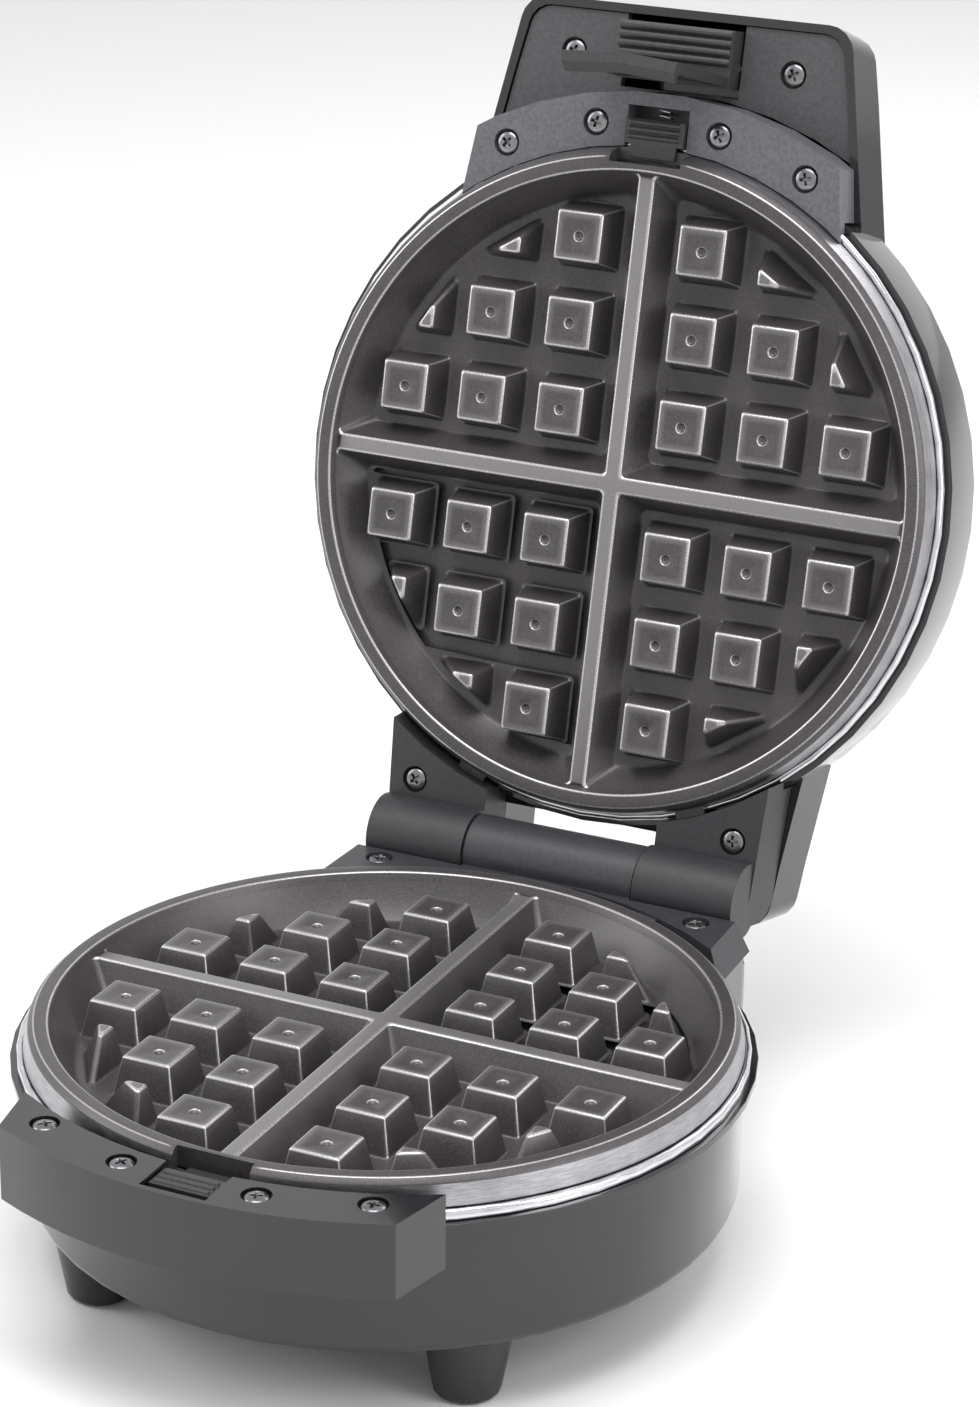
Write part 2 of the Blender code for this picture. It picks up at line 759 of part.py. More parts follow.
def reflector(name, frame):
    """Sheet pan that holds the element, with a flange under the plate's skirt."""
    top = -skirt_depth - gap
    outer = bead_inner_radius - gap
    floor = -pan_floor_depth
    pan = turned(name, frame, [
        (0.0, floor), (pan_radius - pan_corner, floor), (pan_radius, top), (outer, top),
        (outer, top - pan_sheet), (pan_radius + pan_sheet, top - pan_sheet),
        (pan_radius - pan_corner + pan_sheet, floor - pan_sheet), (0.0, floor - pan_sheet)],
        "sheet", steps=ring_steps * 3 // 4)
    middle = floor - pan_sheet / 2
    ends = rods(
        name + "_element_holes", frame,
        [(*end, middle) for end in element_ends()], axis='Z', radius=element_hole_radius,
        length=2 * overrun)
    fixings = rods(
        name + "_screw_holes", frame,
        [polar(pan_screw_circle, angle, middle) for angle in pan_screw_angles], axis='Z',
        radius=screw_shank_radius + gap, length=2 * overrun, sides=boss_sides)
    return cut(pan, ends, fixings)


def element_ends():
    return [
        tuple(polar(element_loop_radius, math.pi / 2 + side * element_gap_angle / 2))[:2]
        for side in (1, -1)]


def heating_element(name, frame):
    """Sheathed tube: an open loop under the plate whose ends turn down through the pan."""
    height = -knob_height - plate_wall - gap - element_radius
    start = math.pi / 2 + element_gap_angle / 2
    sweep = 2 * math.pi - element_gap_angle
    bend_angle = element_bend / element_loop_radius
    route = []
    for index in range(element_points + 1):
        angle = start + bend_angle + (sweep - 2 * bend_angle) * index / element_points
        route.append(polar(element_loop_radius, angle, height))
    for side, step in ((0, -1), (1, 1)):
        edge = start + sweep * side
        drops = []
        for bend in range(1, 5):
            turn = math.pi / 2 * bend / 4
            along = edge - step * bend_angle * (1 - math.sin(turn))
            drops.append(polar(element_loop_radius, along, height - element_bend * (1 - math.cos(turn))))
        drops.append(polar(element_loop_radius, edge, -element_end_depth))
        route = drops[::-1] + route if side == 0 else route + drops
    return tubes(name, frame, [route], element_radius, "dark_steel")


def bar(name, frame, profile, width, angle, finish=None):
    """A profile of (radius, height) points made a flat bar that points away from Z."""
    bm = bmesh.new()
    turn = Matrix.Rotation(angle, 4, 'Z')
    face = bm.faces.new([
        bm.verts.new(turn @ Vector((radius, -width / 2, height))) for radius, height in profile])
    raised = bmesh.ops.extrude_face_region(bm, geom=[face])["geom"]
    across = turn @ Vector((0.0, width, 0.0))
    for vert in raised:
        if isinstance(vert, bmesh.types.BMVert):
            vert.co += across
    bmesh.ops.recalc_face_normals(bm, faces=bm.faces)
    return keep(name, bm, frame, finish, smooth=False)


def element_bracket(name, frame):
    """Three-armed sheet bracket on the pan's floor, with a post under the element on each arm."""
    top = -knob_height - plate_wall - 2 * gap - 2 * element_radius
    bottom = -pan_floor_depth + gap
    far = element_loop_radius + bracket_width / 2
    near = element_loop_radius - bracket_width / 2
    profile = [
        (-bracket_width / 3, bottom), (far, bottom), (far, top), (near, top),
        (near, bottom + bracket_sheet), (-bracket_width / 3, bottom + bracket_sheet)]
    arms = [
        bar(name if index == 0 else f"{name}_arm_{index}", frame, profile, bracket_width, angle,
            None if index else "sheet")
        for index, angle in enumerate(bracket_angles)]
    return join(arms[0], *arms[1:])


def pan_screws(name, frame):
    face = -pan_floor_depth + counterbore_depth
    screws(name, frame, pan_boss_places(), face, gap + pan_sheet + pan_screw_grip)


def pan_boss_places():
    return [tuple(polar(pan_screw_circle, angle))[:2] for angle in pan_screw_angles]


def bosses(name, frame, places, low, high):
    return rods(
        name, frame, [(x, y, (low + high) / 2) for x, y in places], axis='Z',
        radius=boss_radius, length=high - low, sides=boss_sides)


def boss_holes(name, frame, places, low, high):
    return rods(
        name, frame, [(x, y, (low + high) / 2) for x, y in places], axis='Z',
        radius=screw_shank_radius + gap, length=high - low, sides=boss_sides)


def thermal_switch(name, frame, height):
    """Round bimetal switch with two blade terminals, under the middle of the pan."""
    top = -pan_floor_depth - pan_sheet - gap
    switch = rods(
        name, frame, [(0.0, 0.0, top - height / 2)], "nylon", axis='Z',
        radius=thermostat_radius, length=height)
    half_blade = blade_width / 2
    level = top - height / 2
    blades = []
    for side in (-1, 1):
        ends = sorted((side * (thermostat_radius - overrun), side * (thermostat_radius + blade_length)))
        blades.append(((ends[0], -half_blade, level - blade_thickness / 2),
                       (ends[1], half_blade, level + blade_thickness / 2)))
    return join(switch, boxes(name + "_blades", frame, blades))


def release_button(name, frame, recess_half, recess_outer, floor, top, pad, body_inner):
    """Sliding catch: a ribbed pad over a body with a spring bore, and a tongue over the plate's ledge."""
    pad_inner, pad_bottom = pad
    half = recess_half - running_gap
    outer = recess_outer - button_travel - 2 * gap
    tongue_low = -ledge_depth + gap
    tongue_high = tongue_low + tongue_thickness
    button = boxes(name, frame, [((-half, -outer, pad_bottom), (half, -pad_inner, top))], "satin_black")
    body = boxes(name + "_body", frame, [(
        (-half, -outer, floor + gap), (half, -body_inner, (pad_bottom + top) / 2))])
    tongue = boxes(name + "_tongue", frame, [(
        (-tongue_half_width, -pad_inner - tongue_thickness, tongue_low),
        (tongue_half_width, -tongue_reach, tongue_high))])
    pitch = (outer - pad_inner - tongue_thickness) / button_ridges
    ridges = rods(
        name + "_ridges", frame,
        [(0.0, -outer + pitch * (index + 0.5), top) for index in range(button_ridges)],
        axis='X', radius=button_ridge_radius, length=2 * half - 2 * tongue_thickness, sides=8)
    bore_bottom = body_inner + spring_bore_end
    bore = rods(
        name + "_spring_bore", frame,
        [(0.0, -(outer + overrun + bore_bottom) / 2, spring_level(floor))], axis='Y',
        radius=spring_bore_radius, length=outer + overrun - bore_bottom)
    join(button, body, tongue, ridges)
    return cut(button, bore)


def spring_level(floor):
    return floor + gap + spring_bore_end + spring_bore_radius


def button_spring(name, frame, recess_outer, floor, body_inner):
    """Compression spring, drawn as short as the button's full travel leaves it."""
    level = spring_level(floor)
    first = recess_outer - gap - spring_wire
    last = body_inner + spring_bore_end + button_travel + gap + spring_wire
    turns = (first - last) / spring_pitch
    count = max(2, round(turns * spring_points))
    route = []
    for index in range(count + 1):
        angle = 2 * math.pi * turns * index / count
        along = -first + (first - last) * index / count
        route.append((spring_radius * math.cos(angle), along, level + spring_radius * math.sin(angle)))
    return tubes(name, frame, [route], spring_wire, "steel")


# Base
def tail_outline(inset):
    front, half = tail_front, tail_front_half_width - inset
    waist, rear = tail_half_width - inset, tail_rear - inset
    points = [(-half, front), (half, front), (waist, tail_waist), (waist - inset, rear),
              (inset - waist, rear), (-waist, tail_waist)]
    return rounded(points, tail_corner - inset, (3, 4))


def base_housing():
    """Bowl with a flange, a rear tail under the hinge, a front lug and floor vents."""
    bottom, floor = -drum_depth, -drum_depth + drum_wall
    under_flange = -flange_depth - flange_thickness
    housing = turned("base_housing", base_frame, [
        (0.0, -flange_depth), (flange_radius, -flange_depth), (flange_radius, under_flange),
        (drum_radius, under_flange), (drum_radius, bottom + drum_round),
        (drum_radius - drum_round * 0.3, bottom + drum_round * 0.3),
        (drum_radius - drum_round, bottom), (0.0, bottom)], "gloss_black")
    tail = prism("housing_tail", base_frame, tail_outline(0.0), bottom, -tail_top_depth)
    wide = 2 * tail_half_width
    step = boxes("housing_tail_step", base_frame, [(
        (-wide, tail_step_front, -tail_step_depth), (wide, 2 * tail_rear, overrun))])
    lug = sector("housing_lug", base_frame, [
        (drum_radius - drum_wall / 2, -lug_depth - lug_thickness),
        (lug_radius, -lug_depth - lug_thickness), (lug_radius, -lug_depth),
        (drum_radius - drum_wall / 2, -lug_depth)], lug_half_angle)
    join(housing, cut(tail, step), lug)
    inside = turned("housing_inside", base_frame, [
        (0.0, overrun), (drum_radius - drum_wall, overrun),
        (drum_radius - drum_wall, floor), (0.0, floor)])
    tail_inside = prism(
        "housing_tail_inside", base_frame, tail_outline(drum_wall), floor,
        -tail_step_depth - tail_roof)
    cut(housing, tail_inside, inside)
    tail_bosses = bosses(
        "housing_tail_bosses", base_frame, mirrored(hinge_screw_place), -tail_boss_bottom,
        -tail_top_depth - tail_roof)
    pan_bosses = bosses(
        "housing_pan_bosses", base_frame, pan_boss_places(), floor - drum_wall / 2,
        -pan_floor_depth - pan_sheet - gap)
    join(housing, tail_bosses, pan_bosses)
    hinge_holes = boss_holes(
        "housing_hinge_holes", base_frame, mirrored(hinge_screw_place),
        -hinge_screw_length - 2 * boss_hole_spare, overrun)
    lug_places = [(x, -y) for place in front_screw_places for x, y in mirrored(place)]
    lug_holes = boss_holes(
        "housing_lug_holes", base_frame, lug_places, -front_block_bottom - overrun, -flange_depth - overrun)
    pan_holes = boss_holes(
        "housing_pan_holes", base_frame, pan_boss_places(),
        -pan_floor_depth - pan_sheet - pan_screw_grip - boss_hole_spare, 0.0)
    foot_holes = rods(
        "housing_foot_holes", base_frame, [(x, y, bottom) for x, y in foot_places()], axis='Z',
        radius=foot_stud_radius + gap, length=4 * drum_wall)
    half = vent_length / 2
    vents = boxes("housing_vents", base_frame, [
        ((-half, (index - (vent_count - 1) / 2) * vent_pitch - vent_width / 2, bottom - overrun),
         (half, (index - (vent_count - 1) / 2) * vent_pitch + vent_width / 2, floor + overrun))
        for index in range(vent_count) if index != (vent_count - 1) // 2])
    gland_hole = rods(
        "housing_gland_hole", base_frame, [(gland_x, tail_rear, -gland_depth)], axis='Y',
        radius=gland_body_radius + gap, length=6 * drum_wall)
    return cut(housing, hinge_holes, lug_holes, pan_holes, foot_holes, vents, gland_hole)


def curved_run(middle, curve, half_width, bends=7):
    """Points along an arc that crosses the centre line at middle, out to a half width."""
    centre = curve - middle
    reach = math.asin(half_width / curve)
    return [
        (curve * math.sin(reach * step / bends), centre - curve * math.cos(reach * step / bends))
        for step in range(-bends, bends + 1)]


def base_front_block():
    """Front block screwed to the housing's lug; its lower edge is the latch's keeper."""
    low, high = -front_block_bottom, front_block_rise
    outline = curved_run(
        front_block_outer, front_block_outer_curve, front_block_outer_half_width)
    outline += curved_run(
        front_block_inner, front_block_inner_curve, front_block_inner_half_width)[::-1]
    made = prism("base_front_block", base_frame, outline, low, high, "gloss_black")
    pocket = sector("front_block_pocket", base_frame, [
        (drum_radius - drum_wall, low - overrun), (lug_radius + gap, low - overrun),
        (lug_radius + gap, -lug_depth + gap), (drum_radius - drum_wall, -lug_depth + gap)],
        lug_half_angle + gap / drum_radius)
    recess = boxes("front_block_recess", base_frame, [(
        (-base_recess_half_width, -base_recess_outer, -base_recess_floor),
        (base_recess_half_width, -drum_radius, high + overrun))])
    places = [(x, -y) for place in front_screw_places for x, y in mirrored(place)]
    holes = screw_holes("front_block", base_frame, places, high, low - overrun)
    return cut(made, *holes, pocket, recess)


def base_hinge_block():
    """Rear block with the middle hinge barrel and two catches over the plate's tabs."""
    bottom = -hinge_block_depth

    def outline(draft):
        front, rear = hinge_block_front_half_width - draft, hinge_block_rear_half_width - draft
        return [(-front, hinge_block_front), (front, hinge_block_front),
                (rear, hinge_block_rear), (-rear, hinge_block_rear)]

    made = loft(
        "base_hinge_block", base_frame, [(outline(0.0), bottom), (outline(hinge_block_draft), 0.0)],
        "satin_black")
    web = boxes("hinge_block_web", base_frame, [(
        (-middle_barrel_half, web_front, bottom), (middle_barrel_half, hinge_y, -gap))])
    round_cut = rods(
        "hinge_block_round", base_frame, [(0.0, 0.0, 0.0)], axis='Z', radius=hinge_block_round,
        length=4 * hinge_block_depth, sides=ring_steps)
    barrel = rods(
        "hinge_block_barrel", base_frame, [(0.0, hinge_y, hinge_z)], axis='X',
        radius=middle_barrel_radius, length=2 * middle_barrel_half, sides=32)
    bore = rods(
        "hinge_block_bore", base_frame, [(0.0, hinge_y, hinge_z)], axis='X',
        radius=hinge_pin_radius + gap, length=2 * middle_barrel_half + overrun, sides=24)
    bm = bmesh.new()
    low = -skirt_depth + tab_thickness + gap
    far = hinge_block_round + overrun
    for side in (-1, 1):
        angle = math.pi / 2 + side * tab_angle
        place = polar((catch_front + far) / 2, angle, low + catch_thickness / 2)
        size = Matrix.Diagonal((far - catch_front, catch_width, catch_thickness, 1.0))
        bmesh.ops.create_cube(
            bm, size=1.0, matrix=Matrix.Translation(place) @ Matrix.Rotation(angle, 4, 'Z') @ size)
    catches = keep("hinge_block_catches", bm, base_frame)
    join(made, web)
    cut(made, round_cut)
    join(made, barrel, catches)
    holes = screw_holes(
        "hinge_block", base_frame, mirrored(hinge_screw_place), 0.0, bottom - overrun)
    return cut(made, bore, *holes)


def hinge_pin():
    return rods(
        "hinge_pin", base_frame, [(0.0, hinge_y, hinge_z)], "steel", axis='X',
        radius=hinge_pin_radius, length=2 * hinge_pin_half, sides=24)


def foot_places():
    return mirrored(front_foot_place) + mirrored(rear_foot_place)


def feet():
    names = ("foot_front_right", "foot_front_left", "foot_rear_right", "foot_rear_left")
    ground, top = -knob_plane_height, -drum_depth - gap
    stud_top = -drum_depth + drum_wall + foot_stud_rise
    for name, (x, y) in zip(names, foot_places()):
        foot = turned(name, base_frame, [
            (0.0, stud_top), (foot_stud_radius, stud_top), (foot_stud_radius, top),
            (foot_top_radius, top), (foot_bottom_radius, ground + foot_edge),
            (foot_bottom_radius - foot_edge, ground), (0.0, ground)], "satin_black", steps=foot_sides)
        foot.location = (x, y, 0.0)


def cord_gland():
    """Bushing in the tail's rear wall that the cord leaves through."""
    gland = turned("cord_gland", base_frame, [
        (gland_bore_radius, gland_flange), (gland_flange_radius - gap, gland_flange),
        (gland_flange_radius, gland_flange - gap), (gland_flange_radius, 0.0),
        (gland_body_radius, 0.0), (gland_body_radius, -gland_body),
        (gland_bore_radius, -gland_body)], "matt_black", ring=True, steps=24)
    gland.location = (gland_x, tail_rear + gap, -gland_depth)
    gland.rotation_euler = (-math.pi / 2, 0.0, 0.0)
    return gland


def terminal_block():
    """Terminal block on the housing's floor, with three wire bores."""
    wide, deep, tall = terminal_size
    floor = -drum_depth + drum_wall + gap
    made = boxes("terminal_block", base_frame, [(
        (-wide / 2, terminal_front, floor), (wide / 2, terminal_front + deep, floor + tall))], "nylon")
    bores = rods(
        "terminal_bores", base_frame,
        [(index * terminal_pitch, terminal_front + deep / 2, floor + tall / 2) for index in (-1, 0, 1)],
        axis='Y', radius=terminal_bore, length=deep + overrun, sides=10)
    return cut(made, bores)


def element_leads():
    """Two leads from the terminal block to the element's ends."""
    level = -drum_depth + drum_wall + gap + terminal_size[2] / 2
    under = -element_end_depth - gap
    for name, end in zip(("element_lead_left", "element_lead_right"), element_ends()):
        side = 1 if end[0] > 0 else -1
        start = Vector((side * terminal_pitch, terminal_front - gap, level))
        finish = Vector((*end, under))
        low = Vector((*end, level))
        route = [start]
        for step in range(1, 9):
            share = step / 9
            route.append((1 - share) ** 2 * start + 2 * share * (1 - share) * low + share ** 2 * finish)
        route.append(finish)
        tubes(name, base_frame, [route], wire_radius, "copper")


# Lid
def wing_outline(wing, inset=0.0, flare=0.0, draft=0.0):
    """Plan of the cover's handle or rear wing, with its root inside the round cover."""
    root_place, shoulder, end, corner, side = wing
    right = [(place[0] + flare - inset, place[1]) for place in (root_place, shoulder)]
    right.append((end[0] + flare - inset, end[1] - draft - inset))
    points = [(root_place[0] / 2, root_place[1] / 2)] + right
    points += [(-x, y) for x, y in points[::-1]]
    outline = rounded([(x, side * y) for x, y in points], corner - inset / 2, (3, 4))
    return outline


handle_wing = (handle_root, handle_shoulder, handle_end, handle_corner, -1)
rear_wing = (rear_root, rear_shoulder, rear_end, rear_corner, 1)


def wing_sections(wing, lip, draft, wall=0.0):
    """Sections of a wing from its back to its lip; with a wall, the hollow inside down to a seat."""
    back = -cover_back_depth + wall
    if wall:
        return [
            (wing_outline(wing, wall + gap, belly_flare, draft), back),
            (wing_outline(wing, wall, belly_flare, draft), -belly_depth + wall),
            (wing_outline(wing, wall), lip), (wing_outline(wing, wall), overrun)]
    return [
        (wing_outline(wing, back_edge, belly_flare, draft), back),
        (wing_outline(wing, 0.0, belly_flare, draft), -belly_depth), (wing_outline(wing), lip)]


def cover_boss_places():
    arc = [(x, -y) for place in arc_screw_places for x, y in mirrored(place)]
    handle = [(x, -y) for x, y in mirrored(handle_screw_place)]
    return arc, handle, mirrored(ear_screw_place)


def lid_cover():
    """Outer shell of the lid, with the handle's back and the two hinge arms' backs."""
    top, back, floor = -flange_depth, -cover_back_depth, -cover_back_depth + cover_wall
    side_end = -cover_side_depth
    under_lip = top - flange_thickness
    round_share = 1 - math.sqrt(0.5)
    cover = turned("lid_cover", lid_face, [
        (0.0, top), (cover_radius, top), (cover_radius, side_end),
        (cover_radius - cover_round * round_share, back + cover_round * round_share),
        (cover_radius - cover_round, back), (0.0, back)], "gloss_black")
    wings = (
        ("handle", handle_wing, -handle_lip_depth, handle_end_draft,
         -handle_plate_face - handle_plate_thickness - gap),
        ("rear", rear_wing, -rear_lip_depth, rear_end_draft, -rear_lip_depth))
    for name, wing, lip, draft, seat in wings:
        join(cover, loft("cover_" + name, lid_face, wing_sections(wing, lip, draft)))
    inner_radius = cover_radius - cover_wall
    lip_radius = drum_radius - drum_wall
    inside = turned("cover_inside", lid_face, [
        (0.0, overrun), (lip_radius, overrun), (lip_radius, under_lip), (inner_radius, under_lip),
        (inner_radius, side_end), (inner_radius - cover_round + cover_wall, floor), (0.0, floor)])
    for name, wing, lip, draft, seat in wings:
        hollow = loft(
            "cover_" + name + "_inside", lid_face, wing_sections(wing, seat, draft, cover_wall))
        wall = rods(
            "cover_" + name + "_wall", lid_face, [(0.0, 0.0, 0.0)], axis='Z',
            radius=cover_radius + gap / 2, length=4 * cover_back_depth, sides=ring_steps)
        cut(hollow, wall)
        if name == "rear":
            cheek = cutout_half_width + cover_wall
            cut(hollow, boxes("cover_cheeks", lid_face, [(
                (-cheek, 0.0, 2 * back), (cheek, 2 * rear_end[1], cover_back_depth))]))
        cut(cover, hollow)
    cut(cover, inside)
    arm_gap = boxes("cover_cutout", lid_face, [(
        (-cutout_half_width, cutout_front, 2 * back),
        (cutout_half_width, 2 * rear_end[1], cover_back_depth))])
    arc, handle_pair, ear_pair = cover_boss_places()
    sunk = floor - cover_wall / 2
    join(
        cover,
        bosses("cover_arc_bosses", lid_face, arc, sunk, -arc_block_bottom - gap),
        bosses("cover_handle_bosses", lid_face, handle_pair, sunk,
               -handle_plate_face - handle_plate_thickness - gap),
        bosses("cover_ear_bosses", lid_face, ear_pair, sunk, -ear_bottom - gap),
        bosses("cover_pan_bosses", lid_face, pan_boss_places(), sunk,
               -pan_floor_depth - pan_sheet - gap))
    lamps = rods(
        "cover_lamp_holes", lid_face, [(*place, back) for place in mirrored(lamp_place)], axis='Z',
        radius=lamp_radius + gap, length=4 * cover_wall)
    hole_floor = floor + boss_hole_spare
    return cut(
        cover, arm_gap, lamps,
        boss_holes("cover_arc_holes", lid_face, arc, hole_floor, top - flange_thickness),
        boss_holes("cover_handle_holes", lid_face, handle_pair, hole_floor, -handle_plate_face),
        boss_holes("cover_ear_holes", lid_face, ear_pair, hole_floor, -ear_bottom + overrun),
        boss_holes("cover_pan_holes", lid_face, pan_boss_places(), hole_floor, 0.0))


def lamp_lens(name, place, finish):
    """Stepped lens pushed into the cover from inside."""
    outside = -cover_back_depth - lamp_proud
    floor = -cover_back_depth + cover_wall + gap
    lens = turned(name, lid_face, [
        (0.0, floor + lamp_flange), (lamp_flange_radius, floor + lamp_flange),
        (lamp_flange_radius, floor), (lamp_radius, floor), (lamp_radius, outside + lamp_proud / 2),
        (lamp_radius - lamp_proud / 2, outside), (0.0, outside)], finish, steps=16)
    lens.location = (*place, 0.0)
    return lens


def lid_arc_block():
    """Arc block in front of the lid's plate, which carries the lid's release button."""
    face, bottom = -arc_block_face, -arc_block_bottom
    above_lip = -flange_depth + gap
    beside_bead = bead_outer_radius + running_gap
    beside_cover = cover_radius + 2 * gap
    profile = [
        (arc_block_inner, face), (arc_block_outer, face), (arc_block_outer, bottom),
        (beside_cover, bottom), (beside_cover, above_lip), (beside_bead, above_lip),
        (beside_bead, face - arc_block_lip), (arc_block_inner, face - arc_block_lip)]
    inner_y = math.sqrt(cover_radius ** 2 - arc_block_end_inner ** 2)
    outer_y = math.sqrt(arc_block_outer ** 2 - arc_block_end_outer ** 2)
    made = sector("lid_arc_block", lid_face, profile, arc_block_half_angle, "satin_black")
    slope = (arc_block_end_inner - arc_block_end_outer) / (outer_y - inner_y)
    near, far = inner_y / 2, arc_block_outer + overrun
    near_half = arc_block_end_inner + slope * (inner_y - near)
    far_half = arc_block_end_outer - slope * (far - outer_y)
    boolean(made, 'INTERSECT', prism(
        "arc_block_ends", lid_face,
        [(-near_half, -near), (-far_half, -far), (far_half, -far), (near_half, -near)],
        -cover_back_depth, arc_block_bottom))
    recess = boxes("arc_block_recess", lid_face, [(
        (-lid_recess_half_width, -lid_recess_outer, -lid_recess_floor),
        (lid_recess_half_width, -drum_radius / 2, overrun))])
    places = [(x, -y) for place in arc_screw_places for x, y in mirrored(place)]
    return cut(made, recess, *screw_holes("arc_block", lid_face, places, face, bottom - overrun))


def lid_handle_plate():
    """Inner face of the handle, with the latch's slot and the two lugs that hold its pin."""
    face = -handle_plate_face
    bottom = face - handle_plate_thickness
    made = prism(
        "lid_handle_plate", lid_face, wing_outline(handle_wing, cover_wall + gap), bottom, face,
        "satin_black")
    cut(made, rods(
        "handle_plate_round", lid_face, [(0.0, 0.0, face)], axis='Z',
        radius=arc_block_outer + gap, length=4 * handle_plate_thickness, sides=ring_steps))
    lug_inner = latch_slot_half_width
    low = -latch_lug_depth
    spans = []
    for side in (-1, 1):
        ends = sorted((side * lug_inner, side * (lug_inner + latch_lug_thickness)))
        spans.append((
            (ends[0], -latch_pivot_y - latch_lug_half_length, low),
            (ends[1], -latch_pivot_y + latch_lug_half_length, bottom + handle_plate_thickness / 2)))
    join(made, boxes("handle_plate_lugs", lid_face, spans))
    slot = boxes("handle_plate_slot", lid_face, [(
        (-latch_slot_half_width, -2 * handle_end[1], -cover_back_depth),
        (latch_slot_half_width, -latch_slot_inner, overrun))])
    bore = rods(
        "handle_plate_bore", lid_face, [(0.0, -latch_pivot_y, -latch_pivot_depth)], axis='X',
        radius=latch_pin_radius + gap, length=2 * latch_pin_half + 2 * gap, sides=12)
    places = [(x, -y) for x, y in mirrored(handle_screw_place)]
    holes = screw_holes("handle_plate", lid_face, places, face, bottom - overrun)
    return cut(made, slot, bore, *holes)


def lid_ear(name, side):
    """One hinge ear: a plate beside the lid's plate and an outer hinge barrel."""
    axis_height = plate_gap - hinge_z
    top, bottom = ear_face_rise, -ear_bottom

    def span(inner, outer):
        return sorted((side * inner, side * outer))

    sides = [
        (ear_front, bottom), (ear_rear, bottom), (ear_rear, axis_height), (hinge_y, axis_height),
        (hinge_y, top), (ear_front, top)]
    far = ear_front_half_width + ear_flare + overrun
    low_x, high_x = span(ear_inner - overrun, far)
    profile = rounded(sides, ear_corner, (1,))
    made = loft(name, lid_face, [(profile, low_x), (profile, high_x)], "matt_black", upright=False)

    def plan(flare):
        near = side * (ear_inner - 2 * overrun)
        front, rear = side * (ear_front_half_width + flare), side * (ear_rear_half_width + flare)
        low, high = ear_front - overrun, ear_rear + overrun
        corners = [(near, low), (front, low), (rear, high), (near, high)]
        return corners if side > 0 else corners[::-1]

    height = top - bottom
    spare = 2 * overrun
    limit = loft(name + "_plan", lid_face, [
        (plan(ear_flare * (height + spare) / height), bottom - spare),
        (plan(-ear_flare * (axis_height + spare - top) / height), axis_height + spare)])
    boolean(made, 'INTERSECT', limit)
    low_end, high_end = span(ear_inner - 3 * overrun, ear_barrel_end)
    barrel = rods(
        name + "_barrel", lid_face, [((low_end + high_end) / 2, hinge_y, axis_height)], axis='X',
        radius=ear_barrel_radius, length=high_end - low_end, sides=32)
    join(made, barrel)
    near_x, inner_x = span(ear_inner - 4 * overrun, ear_inner)
    inner_side = boxes(name + "_inner_side", lid_face, [(
        (near_x, 0.0, -2 * ear_bottom), (inner_x, 2 * ear_rear, 2 * axis_height + ear_bottom))])
    cut(made, inner_side)
    inner_round = rods(
        name + "_round", lid_face, [(0.0, 0.0, 0.0)], axis='Z', radius=ear_round,
        length=4 * ear_bottom, sides=ring_steps)
    lip_round = rods(
        name + "_lip_round", lid_face, [(0.0, 0.0, -flange_depth + gap - ear_bottom)], axis='Z',
        radius=cover_radius + gap, length=2 * ear_bottom, sides=ring_steps)
    low_bore, high_bore = span(ear_inner - overrun, hinge_pin_half + gap)
    bore = rods(
        name + "_bore", lid_face, [((low_bore + high_bore) / 2, hinge_y, axis_height)], axis='X',
        radius=hinge_pin_radius + gap, length=high_bore - low_bore, sides=24)
    place = [(side * ear_screw_place[0], ear_screw_place[1])]
    holes = screw_holes(name, lid_face, place, top, bottom - overrun)
    pockets = tab_boxes(name + "_pockets", lid_face, gap)
    return cut(made, inner_round, lip_round, bore, pockets, *holes)


def latch_lever():
    """Bell crank: a ribbed grip outside the pivot and a curved hook arm with a barb."""
    grip_far = -(grip_end - latch_pivot_y)
    grip_high = latch_pivot_depth - grip_top
    grip_low = latch_pivot_depth - grip_bottom
    centre = latch_pivot_y
    inner, outer = hook_inner_radius, hook_inner_radius + hook_thickness
    arm_low, arm_high = grip_low, hook_top + latch_pivot_depth
    catch = arm_high - barb_reach - barb_land
    half_angle = math.asin(latch_half_width / outer)
    arm = sector("latch_lever", latch_pivot, [
        (inner, arm_low), (outer, arm_low), (outer, arm_high), (inner, arm_high),
        (inner - barb_reach, catch + barb_land), (inner - barb_reach, catch), (inner, catch)],
        half_angle, "satin_black")
    for vert in arm.data.vertices:
        vert.co.y += centre
    near = centre - inner * math.cos(half_angle)
    grip = boxes("latch_grip", latch_pivot, [(
        (-latch_half_width, grip_far, grip_low), (latch_half_width, near - gap, grip_high))])
    hub = rods(
        "latch_hub", latch_pivot, [(0.0, 0.0, 0.0)], axis='X', radius=latch_hub_radius,
        length=2 * latch_half_width, sides=24)
    pitch = (grip_end - centre) / grip_ribs
    ribs = rods(
        "latch_ribs", latch_pivot,
        [(0.0, grip_far + pitch * (index + 0.5), grip_high) for index in range(grip_ribs)],
        axis='X', radius=grip_rib_radius, length=2 * latch_half_width - 2 * gap, sides=10)
    for moved in (grip, ribs):
        moved.rotation_euler.x = -latch_swing
    spring_room = boxes("latch_spring_room", latch_pivot, [(
        (-latch_spring_gap, -2 * latch_hub_radius, -2 * latch_hub_radius),
        (latch_spring_gap, 2 * latch_hub_radius, latch_hub_radius))])
    bore = rods(
        "latch_bore", latch_pivot, [(0.0, 0.0, 0.0)], axis='X', radius=latch_pin_radius + gap,
        length=2 * latch_half_width + overrun, sides=12)
    join(arm, grip, hub, ribs)
    return cut(arm, spring_room, bore)


def latch_pin():
    return rods(
        "latch_pin", lid_face, [(0.0, -latch_pivot_y, -latch_pivot_depth)], "steel", axis='X',
        radius=latch_pin_radius, length=2 * latch_pin_half, sides=12)


